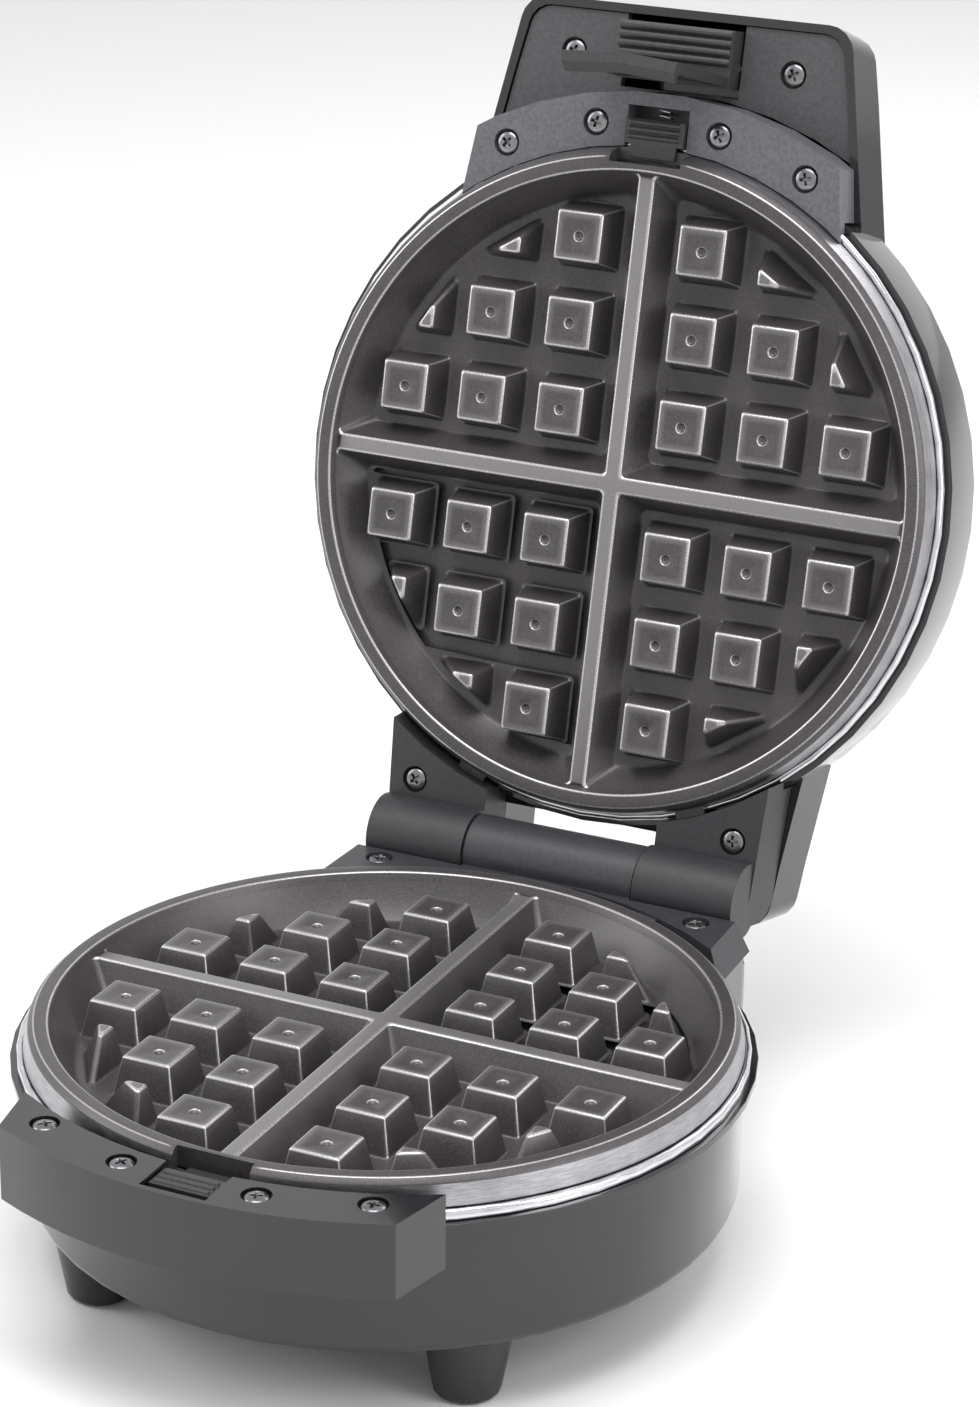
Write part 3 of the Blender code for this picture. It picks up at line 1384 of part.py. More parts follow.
def latch_spring():
    """Torsion spring round the latch's pin."""
    count = latch_spring_turns * spring_points
    length = latch_spring_turns * latch_spring_pitch
    route = []
    for index in range(count + 1):
        angle = 2 * math.pi * index / spring_points
        route.append((
            length * (index / count - 0.5),
            -latch_pivot_y + latch_spring_radius * math.cos(angle),
            -latch_pivot_depth + latch_spring_radius * math.sin(angle)))
    return tubes("latch_spring", lid_face, [route], latch_spring_wire, "steel")


def build_base():
    base_housing()
    trim_ring("base_trim_ring", base_frame)
    waffle_plate("base_waffle_plate", base_frame)
    reflector("base_reflector", base_frame)
    heating_element("base_heating_element", base_frame)
    element_bracket("base_element_bracket", base_frame)
    pan_screws("base_reflector_screw", base_frame)
    thermal_switch("base_thermostat", base_frame, thermostat_height)
    base_front_block()
    places = [(x, -y) for place in front_screw_places for x, y in mirrored(place)]
    screws("base_block_screw", base_frame, places, front_block_rise, front_screw_length)
    base_hinge_block()
    screws("base_hinge_screw", base_frame, mirrored(hinge_screw_place), 0.0, hinge_screw_length)
    hinge_pin()
    feet()
    cord_gland()
    terminal_block()
    element_leads()
    top = front_block_rise - button_ridge_radius - gap
    floor = -base_recess_floor
    inner = base_recess_outer - button_travel - 2 * gap - button_length
    release_button(
        "base_release_button", base_frame, base_recess_half_width, base_recess_outer, floor, top,
        (inner, floor + gap), inner)
    button_spring("base_button_spring", base_frame, base_recess_outer, floor, inner)


def build_lid():
    lid_cover()
    trim_ring("lid_trim_ring", lid_face)
    waffle_plate("lid_waffle_plate", lid_face)
    reflector("lid_reflector", lid_face)
    heating_element("lid_heating_element", lid_face)
    element_bracket("lid_element_bracket", lid_face)
    pan_screws("lid_reflector_screw", lid_face)
    thermal_switch("lid_thermal_cutout", lid_face, cutout_height)
    lid_arc_block()
    arc, handle_pair, ear_pair = cover_boss_places()
    screws("lid_arc_screw", lid_face, arc, -arc_block_face, arc_screw_length)
    lid_handle_plate()
    screws("lid_handle_screw", lid_face, handle_pair, -handle_plate_face, handle_screw_length)
    lid_ear("lid_ear_left", 1)
    lid_ear("lid_ear_right", -1)
    screws("lid_ear_screw", lid_face, ear_pair, ear_face_rise, ear_screw_length)
    right, left = mirrored(lamp_place)
    lamp_lens("power_lamp_lens", right, "red_lens")
    lamp_lens("ready_lamp_lens", left, "green_lens")
    top = -ledge_depth + gap + tongue_thickness
    floor = -lid_recess_floor
    inner = cover_radius + running_gap
    release_button(
        "lid_release_button", lid_face, lid_recess_half_width, lid_recess_outer, floor, top,
        (arc_block_inner + gap, -skirt_depth), inner)
    button_spring("lid_button_spring", lid_face, lid_recess_outer, floor, inner)
    latch_lever()
    latch_pin()
    latch_spring()


def centre_on_origin():
    """Moves the whole model so that its box is centred on the origin, front to back."""
    bpy.context.view_layer.update()
    graph = bpy.context.evaluated_depsgraph_get()
    reach = []
    for part in parts.objects:
        if part.type == 'MESH':
            seen = part.evaluated_get(graph)
            reach += [(seen.matrix_world @ vert.co).y for vert in seen.data.vertices]
    root.location.y = -(min(reach) + max(reach)) / 2
    bpy.context.view_layer.update()


build_base()
build_lid()
centre_on_origin()
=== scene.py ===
"""Looks of the waffle maker: detailed plates, screws, softened mouldings, finishes, studio."""
import json
import math

import bmesh
import bpy
import numpy as np
from mathutils import Matrix, Vector
from mathutils.kdtree import KDTree


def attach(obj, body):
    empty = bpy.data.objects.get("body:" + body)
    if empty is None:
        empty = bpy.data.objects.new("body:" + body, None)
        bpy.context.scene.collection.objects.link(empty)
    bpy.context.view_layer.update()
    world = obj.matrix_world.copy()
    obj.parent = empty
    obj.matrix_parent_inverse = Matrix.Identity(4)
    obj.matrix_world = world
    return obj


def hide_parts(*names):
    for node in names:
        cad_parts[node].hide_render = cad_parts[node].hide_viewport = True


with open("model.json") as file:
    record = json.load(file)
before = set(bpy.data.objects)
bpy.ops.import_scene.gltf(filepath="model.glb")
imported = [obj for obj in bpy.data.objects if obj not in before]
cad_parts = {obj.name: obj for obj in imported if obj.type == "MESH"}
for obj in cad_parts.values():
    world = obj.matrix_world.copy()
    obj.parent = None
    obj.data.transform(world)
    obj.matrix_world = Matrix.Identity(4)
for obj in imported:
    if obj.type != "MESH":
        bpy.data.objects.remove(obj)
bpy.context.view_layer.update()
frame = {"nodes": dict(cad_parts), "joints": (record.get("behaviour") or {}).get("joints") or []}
nodes = frame["nodes"]
mm = 0.001
sharp_angles = {"plate": 38.0, "screw": 32.0, "ring": 40.0, "plain": 35.0}
quarter_turn = math.pi / 2
full_turn = 2 * math.pi

# Frames of the two halves: each has its origin on the axis of its plate, at the rib tops
joints = {joint["name"]: joint for joint in frame["joints"]}
hinge = Vector(joints["lid_hinge"]["pos_m"])
opening = math.radians(joints["lid_hinge"]["range_deg"][1])
hinge_reach = 111.5 * mm
base_plane_height = 66.2 * mm
lid_plane_rise = 5.7 * mm
base_at = Matrix.Translation((0.0, hinge.y - hinge_reach, base_plane_height))
lid_at = (
    Matrix.Translation(hinge) @ Matrix.Rotation(-opening, 4, 'X')
    @ Matrix.Translation((0.0, -hinge_reach, lid_plane_rise)) @ Matrix.Rotation(math.pi, 4, 'Y'))


# Materials
class Finish:
    """A node material in the making: a Principled shader and helpers that feed it."""

    def __init__(self, name, colour, roughness, metallic=0.0, **sockets):
        self.material = bpy.data.materials.new(name)
        self.material.use_nodes = True
        tree = self.material.node_tree
        self.nodes, self.links = tree.nodes, tree.links
        self.shader = self.nodes["Principled BSDF"]
        self.shader.inputs["Base Color"].default_value = (*colour, 1.0)
        self.shader.inputs["Roughness"].default_value = roughness
        self.shader.inputs["Metallic"].default_value = metallic
        for key, value in sockets.items():
            self.shader.inputs[key.replace("_", " ")].default_value = value
        self.material.diffuse_color = (*colour, 1.0)
        self.place = self.nodes.new("ShaderNodeTexCoord").outputs["Object"]

    def feed(self, value, socket):
        """Links an output, or sets a plain number or colour on the socket."""
        if isinstance(value, (int, float)):
            socket.default_value = value
        elif isinstance(value, tuple):
            socket.default_value = (*value, 1.0)
        else:
            self.links.new(value, socket)

    def noise(self, scale, detail=3.0, roughness=0.55, vector=None):
        node = self.nodes.new("ShaderNodeTexNoise")
        node.inputs["Scale"].default_value = scale
        node.inputs["Detail"].default_value = detail
        node.inputs["Roughness"].default_value = roughness
        self.links.new(vector or self.place, node.inputs["Vector"])
        return node.outputs["Fac"]

    def cells(self, scale):
        node = self.nodes.new("ShaderNodeTexVoronoi")
        node.inputs["Scale"].default_value = scale
        self.links.new(self.place, node.inputs["Vector"])
        return node.outputs["Distance"]

    def attribute(self, name, output="Fac"):
        node = self.nodes.new("ShaderNodeAttribute")
        node.attribute_name = name
        return node.outputs[output]

    def ramp(self, value, low, high, start, stop):
        """Maps value from low..high to start..stop, clamped."""
        node = self.nodes.new("ShaderNodeMapRange")
        for key, number in (("From Min", low), ("From Max", high), ("To Min", start), ("To Max", stop)):
            node.inputs[key].default_value = number
        self.links.new(value, node.inputs["Value"])
        return node.outputs["Result"]

    def share(self, value, low, high):
        """Maps value from low..high to 0..1, clamped."""
        return self.ramp(value, low, high, 0.0, 1.0)

    def math(self, operation, first, second):
        node = self.nodes.new("ShaderNodeMath")
        node.operation = operation
        self.feed(first, node.inputs[0])
        self.feed(second, node.inputs[1])
        return node.outputs[0]

    def mix(self, share, first, second):
        node = self.nodes.new("ShaderNodeMix")
        node.data_type = 'RGBA'
        self.feed(share, node.inputs["Factor"])
        self.feed(first, node.inputs["A"])
        self.feed(second, node.inputs["B"])
        return node.outputs["Result"]

    def colour(self, value):
        self.links.new(value, self.shader.inputs["Base Color"])

    def roughness(self, value):
        self.links.new(value, self.shader.inputs["Roughness"])

    def metallic(self, value):
        self.links.new(value, self.shader.inputs["Metallic"])

    def bump(self, height, distance, strength=1.0):
        node = self.nodes.new("ShaderNodeBump")
        node.inputs["Distance"].default_value = distance
        node.inputs["Strength"].default_value = strength
        self.links.new(height, node.inputs["Height"])
        self.links.new(node.outputs["Normal"], self.shader.inputs["Normal"])


def scaled(colour, factor):
    return tuple(min(1.0, channel * factor) for channel in colour)


def moulded(name, colour, roughness, grain=0.00002, spread=0.05, scale=2200.0, **sockets):
    """Moulded plastic: fine grain, slight variation of gloss and tone over the piece."""
    darker, lighter = scaled(colour, 0.84), scaled(colour, 1.18)
    made = Finish(name, colour, roughness, **sockets)
    broad = made.noise(scale=38.0, detail=4.0)
    fine = made.noise(scale=scale, detail=2.0)
    made.roughness(made.ramp(broad, 0.3, 0.7, start=roughness - spread, stop=roughness + spread))
    fleck = made.share(made.noise(scale=900.0), low=0.35, high=0.65)
    made.colour(made.mix(fleck, darker, lighter))
    made.bump(fine, grain)
    return made.material


def non_stick():
    """Sprayed non-stick coat: charcoal with a purple cast, speckled, with a painted highlight of light
    grey at the edges.
    """
    dark_ground, light_ground = (0.046, 0.042, 0.047), (0.066, 0.060, 0.064)
    # The last grey and share below paint a highlight on the rounded edges of the coat
    speckle_grey, flake_grey, painted_highlight_grey = (0.115, 0.104, 0.108), (0.20, 0.19, 0.20), (0.60, 0.58, 0.59)
    speckle_share, flake_share, painted_highlight_share, highlight_polish = 0.55, 0.35, 0.75, 0.12
    made = Finish("non_stick_coat", (0.05, 0.047, 0.052), 0.38, Coat_Weight=0.15, Coat_Roughness=0.3)
    edge = made.share(made.attribute("edge"), low=0.25, high=0.95)
    speckle = made.share(made.noise(scale=1900.0, roughness=0.7), low=0.42, high=0.66)
    flake = made.ramp(made.cells(scale=900.0), low=0.05, high=0.16, start=1.0, stop=0.0)
    cloud = made.share(made.noise(scale=22.0, detail=4.0), low=0.35, high=0.68)
    ground = made.mix(cloud, dark_ground, light_ground)
    ground = made.mix(made.math('MULTIPLY', speckle, speckle_share), ground, speckle_grey)
    ground = made.mix(made.math('MULTIPLY', flake, flake_share), ground, flake_grey)
    # Painted highlight: where the edge share is high, the coat's colour is mixed towards a light grey
    made.colour(made.mix(made.math('MULTIPLY', edge, painted_highlight_share), ground, painted_highlight_grey))
    made.metallic(made.ramp(edge, low=0.0, high=1.0, start=0.32, stop=0.75))
    rough = made.ramp(speckle, low=0.0, high=1.0, start=0.36, stop=0.46)
    made.roughness(made.math('SUBTRACT', rough, made.math('MULTIPLY', edge, highlight_polish)))
    made.bump(made.noise(scale=1500.0, roughness=0.65), distance=0.00006, strength=0.7)
    return made.material


def turned_metal(name, colour, roughness, line=0.00003):
    """Metal turned or spun on a lathe: fine lines round the axis, kept in the local frame."""
    angle_share = 0.004
    dark, light = scaled(colour, 0.55), scaled(colour, 1.2)
    made = Finish(name, colour, roughness, 1.0)
    local = made.attribute("local", "Vector")
    split = made.nodes.new("ShaderNodeSeparateXYZ")
    made.links.new(local, split.inputs[0])
    join = made.nodes.new("ShaderNodeCombineXYZ")
    made.links.new(split.outputs[0], join.inputs[0])
    made.links.new(split.outputs[1], join.inputs[1])
    made.links.new(made.math('MULTIPLY', split.outputs[2], angle_share), join.inputs[2])
    lines = made.noise(scale=5200.0, roughness=0.7, vector=join.outputs[0])
    broad = made.noise(scale=9.0, roughness=0.5, vector=local)
    shade = made.mix(made.share(lines, low=0.3, high=0.7), dark, light)
    made.colour(made.mix(made.ramp(broad, low=0.4, high=0.7, start=0.0, stop=0.45), shade, dark))
    made.roughness(made.ramp(lines, 0.3, 0.7, start=roughness - 0.07, stop=roughness + 0.09))
    made.bump(lines, distance=line, strength=0.6)
    return made.material


def bare_metal(name, colour, roughness, tint=None):
    """Plain rolled or plated metal with faint clouding."""
    made = Finish(name, colour, roughness, 1.0)
    cloud = made.share(made.noise(scale=60.0, detail=5.0, roughness=0.6), low=0.35, high=0.7)
    made.colour(made.mix(cloud, colour, tint or scaled(colour, 0.72)))
    fine = made.noise(scale=700.0)
    made.roughness(made.ramp(fine, 0.3, 0.7, start=roughness - 0.05, stop=roughness + 0.08))
    made.bump(made.noise(scale=1800.0, detail=2.0), distance=0.00001, strength=0.5)
    return made.material


def lens(name, colour):
    """Tinted clear plastic with a fine pattern of cells."""
    made = Finish(name, colour, 0.12, Transmission_Weight=0.35, IOR=1.49)
    made.bump(made.cells(scale=900.0), distance=0.0001, strength=0.6)
    return made.material


finishes = {
    "coat": non_stick(),
    "skirt": turned_metal("turned_skirt", (0.42, 0.41, 0.43), 0.34),
    "bead": turned_metal("polished_bead", (0.74, 0.74, 0.77), 0.14, line=0.000008),
    "gloss": moulded(
        "gloss_black", (0.011, 0.011, 0.0135), 0.11, grain=0.000004, spread=0.03, scale=500.0,
        Coat_Weight=0.35, Coat_Roughness=0.04),
    "satin": moulded("satin_grey", (0.105, 0.100, 0.112), 0.36),
    "handle": moulded("satin_dark", (0.058, 0.055, 0.060), 0.36),
    "block": moulded("hinge_black", (0.034, 0.033, 0.038), 0.38, grain=0.00003),
    "ear": moulded("matt_black", (0.024, 0.024, 0.027), 0.46, grain=0.00004, spread=0.06),
    "lever": moulded("lever_black", (0.034, 0.033, 0.036), 0.34, grain=0.00003),
    "foot": moulded("foot_black", (0.013, 0.013, 0.015), 0.34),
    "screw": bare_metal("screw_steel", (0.30, 0.29, 0.30), 0.26, tint=(0.12, 0.12, 0.13)),
    "steel": bare_metal("bright_steel", (0.60, 0.60, 0.62), 0.22),
    "sheet": bare_metal("sheet_steel", (0.66, 0.66, 0.67), 0.34),
    "sheath": bare_metal("element_sheath", (0.22, 0.20, 0.20), 0.38, tint=(0.16, 0.11, 0.10)),
    "nylon": moulded("terminal_nylon", (0.72, 0.70, 0.64), 0.45),
    "lead": moulded("lead_sleeve", (0.42, 0.08, 0.05), 0.5, grain=0.00005, scale=1200.0),
    "red": lens("red_lens", (0.60, 0.02, 0.02)),
    "green": lens("green_lens", (0.03, 0.42, 0.09)),
}


# Helpers
def new_piece(name, bm, materials):
    mesh = bpy.data.meshes.new(name)
    bm.to_mesh(mesh)
    bm.free()
    for made in materials:
        mesh.materials.append(made)
    piece = bpy.data.objects.new(name, mesh)
    bpy.context.scene.collection.objects.link(piece)
    return piece


def copy_of_node(name, node, finish, tidy=None):
    """A new piece with the node's shape, its doubled vertices welded, and one finish."""
    weld_distance = 1e-6
    bm = bmesh.new()
    bm.from_mesh(nodes[node].data)
    bmesh.ops.remove_doubles(bm, verts=bm.verts, dist=weld_distance)
    if tidy:
        tidy(bm)
    for face in bm.faces:
        face.material_index = 0
    return new_piece(name, bm, [finishes[finish]])


def apply_modifiers(piece):
    bpy.context.view_layer.update()
    graph = bpy.context.evaluated_depsgraph_get()
    mesh = bpy.data.meshes.new_from_object(piece.evaluated_get(graph), depsgraph=graph)
    old = piece.data
    piece.modifiers.clear()
    piece.data = mesh
    bpy.data.meshes.remove(old)


def combine(piece, operation, other, use_self=False):
    """Joins the tool object to the piece, or cuts it out of it, and removes the tool."""
    change = piece.modifiers.new(operation, 'BOOLEAN')
    change.operation, change.object, change.solver = operation, other, 'EXACT'
    change.use_self = use_self
    apply_modifiers(piece)
    bpy.data.objects.remove(other)


def smooth(piece, angle):
    piece.data.shade_smooth()
    piece.data.set_sharp_from_angle(angle=math.radians(angle))


def local_box(node, at):
    back = at.inverted()
    points = np.array([back @ vert.co for vert in nodes[node].data.vertices])
    return points.min(0), points.max(0)


def mark_local(piece, at):
    """Stores radius, height and angle in the piece's own half, for turned finishes."""
    back = at.inverted()
    values = []
    for vert in piece.data.vertices:
        place = back @ (piece.matrix_world @ vert.co)
        values += [math.hypot(place.x, place.y), place.z, math.atan2(place.y, place.x)]
    layer = piece.data.attributes.new("local", 'FLOAT_VECTOR', 'POINT')
    layer.data.foreach_set("vector", values)


def on_circle(radius, angle):
    return radius * math.cos(angle), radius * math.sin(angle)


def arc_corner(before, corner, after, radius, steps):
    """Points that round one corner of a flat profile."""
    a, b, c = (Vector(point) for point in (before, corner, after))
    first, second = (a - b).normalized(), (c - b).normalized()
    half = first.angle(second) / 2
    reach = radius / math.tan(half)
    centre = b + (first + second).normalized() * (radius / math.sin(half))
    start, stop = b + first * reach - centre, b + second * reach - centre
    return [tuple(centre + start.slerp(stop, step / steps)) for step in range(steps + 1)]


def round_profile(points, radii, steps):
    """A flat profile whose inner corners are rounded with one radius each."""
    made = [tuple(points[0])]
    for index in range(1, len(points) - 1):
        if radii[index - 1] > 0.0:
            made += arc_corner(*points[index - 1:index + 2], radii[index - 1], steps)
        else:
            made.append(tuple(points[index]))
    return made + [tuple(points[-1])]


# Waffle plates, in millimetres in the plate's own frame, rib tops at height 0
depth = 10.0
knob_first, knob_pitch, knobs_a_side = 19.05, 25.0, 3
knob_half, knob_run = 6.6, 2.8
knob_corner, knob_corner_growth = 0.75, 0.7
knob_points = 32
knob_foot_radius, knob_top_radius = 0.9, 0.45
whole_knob_reach, least_knob_reach = 75.0, 72.0
edge_top, edge_run = 76.0, 4.5
rib_half, rib_run = 2.0, 4.5
pocket_corner, pocket_corner_growth = 1.5, 0.8
pocket_foot_radius, pocket_top_radius = 1.1, 0.55
wall_foot_width = 1.2
floor_radius, rim_inner, rim_rise = 83.0, 90.0, 2.5
wall_run = (rim_inner - floor_radius) / (rim_rise + depth)
top_reach = floor_radius + depth * wall_run
beyond = 400.0

# Painted edge highlight up a wall, one share a point: five points round its foot, then five round its top
fillet_steps = 4
pocket_highlight_shares = (0.0, 0.0, 0.0, 0.0, 0.0, 0.25, 0.9, 1.0, 0.9, 0.5)
knob_highlight_shares = (0.0, 0.0, 0.0, 0.0, 0.05, 0.3, 0.9, 1.0, 0.9, 0.4)
# Painted edge highlight on the knobs' corner edges and on the rim's edges
knob_corner_highlight, rim_highlight = 0.85, 0.9

# Dimple in a knob: radius, height and painted highlight share, lightest round its rim
dimple_points = 20
dimple_profile = (
    (1.75, 0.0, 0.0), (1.6, -0.06, 0.8), (1.45, -0.22, 0.7), (1.2, -0.55, 0.1), (0.8, -0.85, 0.1),
    (0.4, -0.97, 0.1))

# Rim, turned skirt and back
skirt_outer, skirt_foot = 95.8, -4.3
back_radius, back_height = 86.0, -13.0
rim_points = [
    (top_reach, 0.0), (rim_inner, rim_rise), (93.3, rim_rise), (94.5, 1.3), (skirt_outer, skirt_foot),
    (93.6, skirt_foot), (93.0, -0.5), (back_radius, back_height), (0.5, back_height)]
rim_radii = (0.45, 0.4, 0.4, 0.3, 0.2, 0.0, 0.8)
rim_steps = 3
# Rings of the rim profile that get the painted edge highlight
highlit_rim_rings = (1, 2, 5, 6)
skirt_starts_at, skirt_top = 93.9, 1.35

# Front shelf, the two tabs at the back and the notch for the latch
shelf_low, shelf_high = (-14.0, -94.7, -4.3), (14.0, -88.6, -2.9)
tab_low, tab_high, tab_turn = (94.7, -4.5, -4.3), (99.3, 4.5, -2.5), 21.0
notch_low, notch_high = (-11.0, -99.0, -2.9), (11.0, -91.5, 6.0)

# Directions round a pocket: the wall's arc, then the three corners at the ribs
arc_start = math.radians(2.6)
arc_steps, corner_steps = 44, 7


def pocket_directions():
    arc_stop = quarter_turn - arc_start
    made = [arc_start + (arc_stop - arc_start) * step / arc_steps for step in range(arc_steps + 1)]
    corners = (arc_stop, 2 * quarter_turn, 3 * quarter_turn, 4 * quarter_turn + arc_start)
    for start, stop in zip(corners, corners[1:]):
        made += [start + (stop - start) * step / corner_steps for step in range(1, corner_steps + 1)]
    return made[:-1]


def rounded_ring(low, high, reach, corner, directions):
    """Outline of a box cut by a disc round the origin, corners rounded, one point a direction."""
    shrink_share = 0.7
    size = corner
    while True:
        x0, x1, y0, y1 = low[0] + size, high[0] - size, low[1] + size, high[1] - size
        limit = reach - size
        spots = []
        if x0 <= x1 and y0 <= y1:
            spots = [(x, y) for x in (x0, x1) for y in (y0, y1) if math.hypot(x, y) <= limit]
            for x in (x0, x1):
                if abs(x) <= limit:
                    root = math.sqrt(limit ** 2 - x ** 2)
                    spots += [(x, y) for y in (root, -root) if y0 <= y <= y1]
            for y in (y0, y1):
                if abs(y) <= limit:
                    root = math.sqrt(limit ** 2 - y ** 2)
                    spots += [(x, y) for x in (root, -root) if x0 <= x <= x1]
        if spots:
            break
        size *= shrink_share
    made = []
    for angle in directions:
        ux, uy = math.cos(angle), math.sin(angle)
        options = list(spots)
        if x0 <= limit * ux <= x1 and y0 <= limit * uy <= y1:
            options.append((limit * ux, limit * uy))
        x, y = max(options, key=lambda spot: spot[0] * ux + spot[1] * uy)
        made.append((x + size * ux, y + size * uy))
    return made


def fillets(run, low_radius, high_radius):
    """(outward offset, height) up a wall that leans in by run over the plate's depth."""
    lead = 4.0
    return round_profile(
        [(run + lead, -depth), (run, -depth), (0.0, 0.0), (-lead, 0.0)],
        (low_radius, high_radius), fillet_steps)[1:-1]


class PlateMesh:
    """A waffle plate in the making: rings of vertices, each with its share of painted edge highlight."""

    def __init__(self):
        self.bm = bmesh.new()
        self.wear = {}

    def ring(self, points, height, wear=0.0):
        made = [self.bm.verts.new((x, y, height)) for x, y in points]
        for vert in made:
            self.wear[vert] = wear
        return made

    def fill(self, rings):
        """Flat faces inside the first ring and outside the others."""
        edges = []
        for verts in rings:
            for index, vert in enumerate(verts):
                after = verts[(index + 1) % len(verts)]
                edges.append(self.bm.edges.get((vert, after)) or self.bm.edges.new((vert, after)))
        bmesh.ops.triangle_fill(self.bm, use_beauty=True, edges=edges, normal=(0.0, 0.0, 1.0))

    def strips(self, rings):
        """Faces from each ring to the next, which has as many vertices."""
        for lower, upper in zip(rings, rings[1:]):
            count = len(lower)
            for index in range(count):
                after = (index + 1) % count
                self.bm.faces.new((lower[index], lower[after], upper[after], upper[index]))

    def pocket(self, turn, side):
        """One quarter's pocket between the ribs and the wall: its rings at the floor and the top."""
        rings = []
        around = pocket_directions()
        for index, (offset, height) in enumerate(side):
            start = rib_half + offset
            foot = wall_foot_width * max(0.0, 1.0 - index / fillet_steps)
            reach = floor_radius + (height + depth) * wall_run - foot
            corner = pocket_corner + pocket_corner_growth * (-height / depth)
            spots = rounded_ring((start, start), (beyond, beyond), reach, corner, around)
            made = self.ring([turn @ Vector(spot) for spot in spots], height)
            # The pocket's rib corners get the painted edge highlight, share by height
            for vert in made[arc_steps + 1:]:
                self.wear[vert] = pocket_highlight_shares[index]
            rings.append(made)
        self.strips(rings)
        return rings[0], rings[-1]

    def knob(self, turn, x, y, whole, walls):
        """One knob, cut off by the edge circle unless it is whole: its ring at the floor."""
        rings = []
        per_side = knob_points // 4
        directions = [full_turn * (step + 0.5) / knob_points for step in range(knob_points)]
        for index, ((offset, height), (cut_offset, _)) in enumerate(zip(*walls)):
            half = knob_half + offset
            corner = knob_corner + knob_corner_growth * (-height / depth)
            reach = beyond if whole else edge_top + cut_offset
            spots = rounded_ring((x - half, y - half), (x + half, y + half), reach, corner, directions)
            made = self.ring([turn @ Vector(spot) for spot in spots], height, knob_highlight_shares[index])
            for number, vert in enumerate(made):
                # Corner columns of whole knobs get the painted edge highlight
                at_corner = number % per_side in (per_side // 2 - 1, per_side // 2)
                if whole and at_corner and index > fillet_steps // 2:
                    self.wear[vert] = max(self.wear[vert], knob_corner_highlight)
            rings.append(made)
        self.strips(rings)
        if whole:
            self.dimple(turn @ Vector((x, y)), rings[-1])
        else:
            self.fill([rings[-1]])
        return rings[0]

    def dimple(self, centre, outline):
        """A knob's flat top, sunk in the middle."""
        rings = []
        for radius, height, wear in dimple_profile:
            spokes = [on_circle(radius, full_turn * step / dimple_points) for step in range(dimple_points)]
            rings.append(self.ring([(centre.x + x, centre.y + y) for x, y in spokes], height, wear))
        self.fill([outline, rings[0]])
        self.strips(rings)
        self.bm.faces.new(rings[-1])

    def knobs(self, quarters):
        """All the knobs: their floor rings, a list for each quarter."""
        walls = [fillets(run, knob_foot_radius, knob_top_radius) for run in (knob_run, edge_run)]
        base_half = knob_half + knob_run
        bases = [[] for _ in quarters]
        places = [knob_first + number * knob_pitch for number in range(knobs_a_side)]
        for y in places:
            for x in places:
                whole = math.hypot(x, y) < whole_knob_reach
                if not whole and math.hypot(x - base_half, y - base_half) > least_knob_reach:
                    continue
                for turn, made in zip(quarters, bases):
                    made.append(self.knob(turn, x, y, whole, walls))
        return bases

    def cross(self, tops):
        """The cross of the rib tops: the closed ring where it meets the wall."""
        wall_ring, outline = [], []
        for number, verts in enumerate(tops):
            start = quarter_turn * (number + 1) - arc_start
            ends = self.ring(
                [on_circle(top_reach, start + 2 * arc_start * step / 3) for step in (1, 2)], 0.0)
            wall_ring += verts[:arc_steps + 1] + ends
            outline += [verts[0]] + verts[:arc_steps - 1:-1] + ends
        self.fill([outline])
        return wall_ring

    def rim(self, wall_ring):
        """Wall top, rim, skirt and back, turned round the plate's axis."""
        angles = [math.atan2(vert.co.y, vert.co.x) for vert in wall_ring]
        rings = [wall_ring]
        for number, (radius, height) in enumerate(round_profile(rim_points, rim_radii, rim_steps)[1:]):
            # Rim edges get the painted edge highlight
            wear = rim_highlight if number in highlit_rim_rings else 0.0
            rings.append(self.ring([on_circle(radius, angle) for angle in angles], height, wear))
        self.strips(rings)
        self.bm.faces.new(rings[-1])


def block_tool(name, blocks):
    """An object of boxes, each given by its matrix, low corner and high corner."""
    bm = bmesh.new()
    for matrix, low, high in blocks:
        low, high = Vector(low), Vector(high)
        fit = Matrix.Translation((low + high) / 2) @ Matrix.Diagonal((*(high - low), 1.0))
        bmesh.ops.create_cube(bm, size=1.0, matrix=matrix @ fit)
    return new_piece(name, bm, [])


def shelf_and_tabs(name):
    blocks = [(Matrix(), shelf_low, shelf_high)]
    for turn in (-tab_turn, tab_turn):
        blocks.append((Matrix.Rotation(quarter_turn + math.radians(turn), 4, 'Z'), tab_low, tab_high))
    return block_tool(name, blocks)


def mark_edges(mesh, tree, highlights):
    """Stores the painted highlight share of the nearest modelled vertex, for the painted edge highlights
    of the coat.
    """
    same_place = 0.01
    values = []
    for vert in mesh.vertices:
        _, index, distance = tree.find(vert.co)
        values.append(highlights[index] if distance < same_place else 0.0)
    layer = mesh.attributes.new("edge", 'FLOAT', 'POINT')
    layer.data.foreach_set("value", values)


def bare_the_skirt(mesh):
    """Gives the turned finish to the outside of the skirt, which is left uncoated."""
    for face in mesh.polygons:
        centre, normal = face.center, face.normal
        outward = normal.x * centre.x + normal.y * centre.y > 0
        outside = outward and math.hypot(centre.x, centre.y) > skirt_starts_at
        face.material_index = 1 if outside and skirt_foot < centre.z < skirt_top else 0


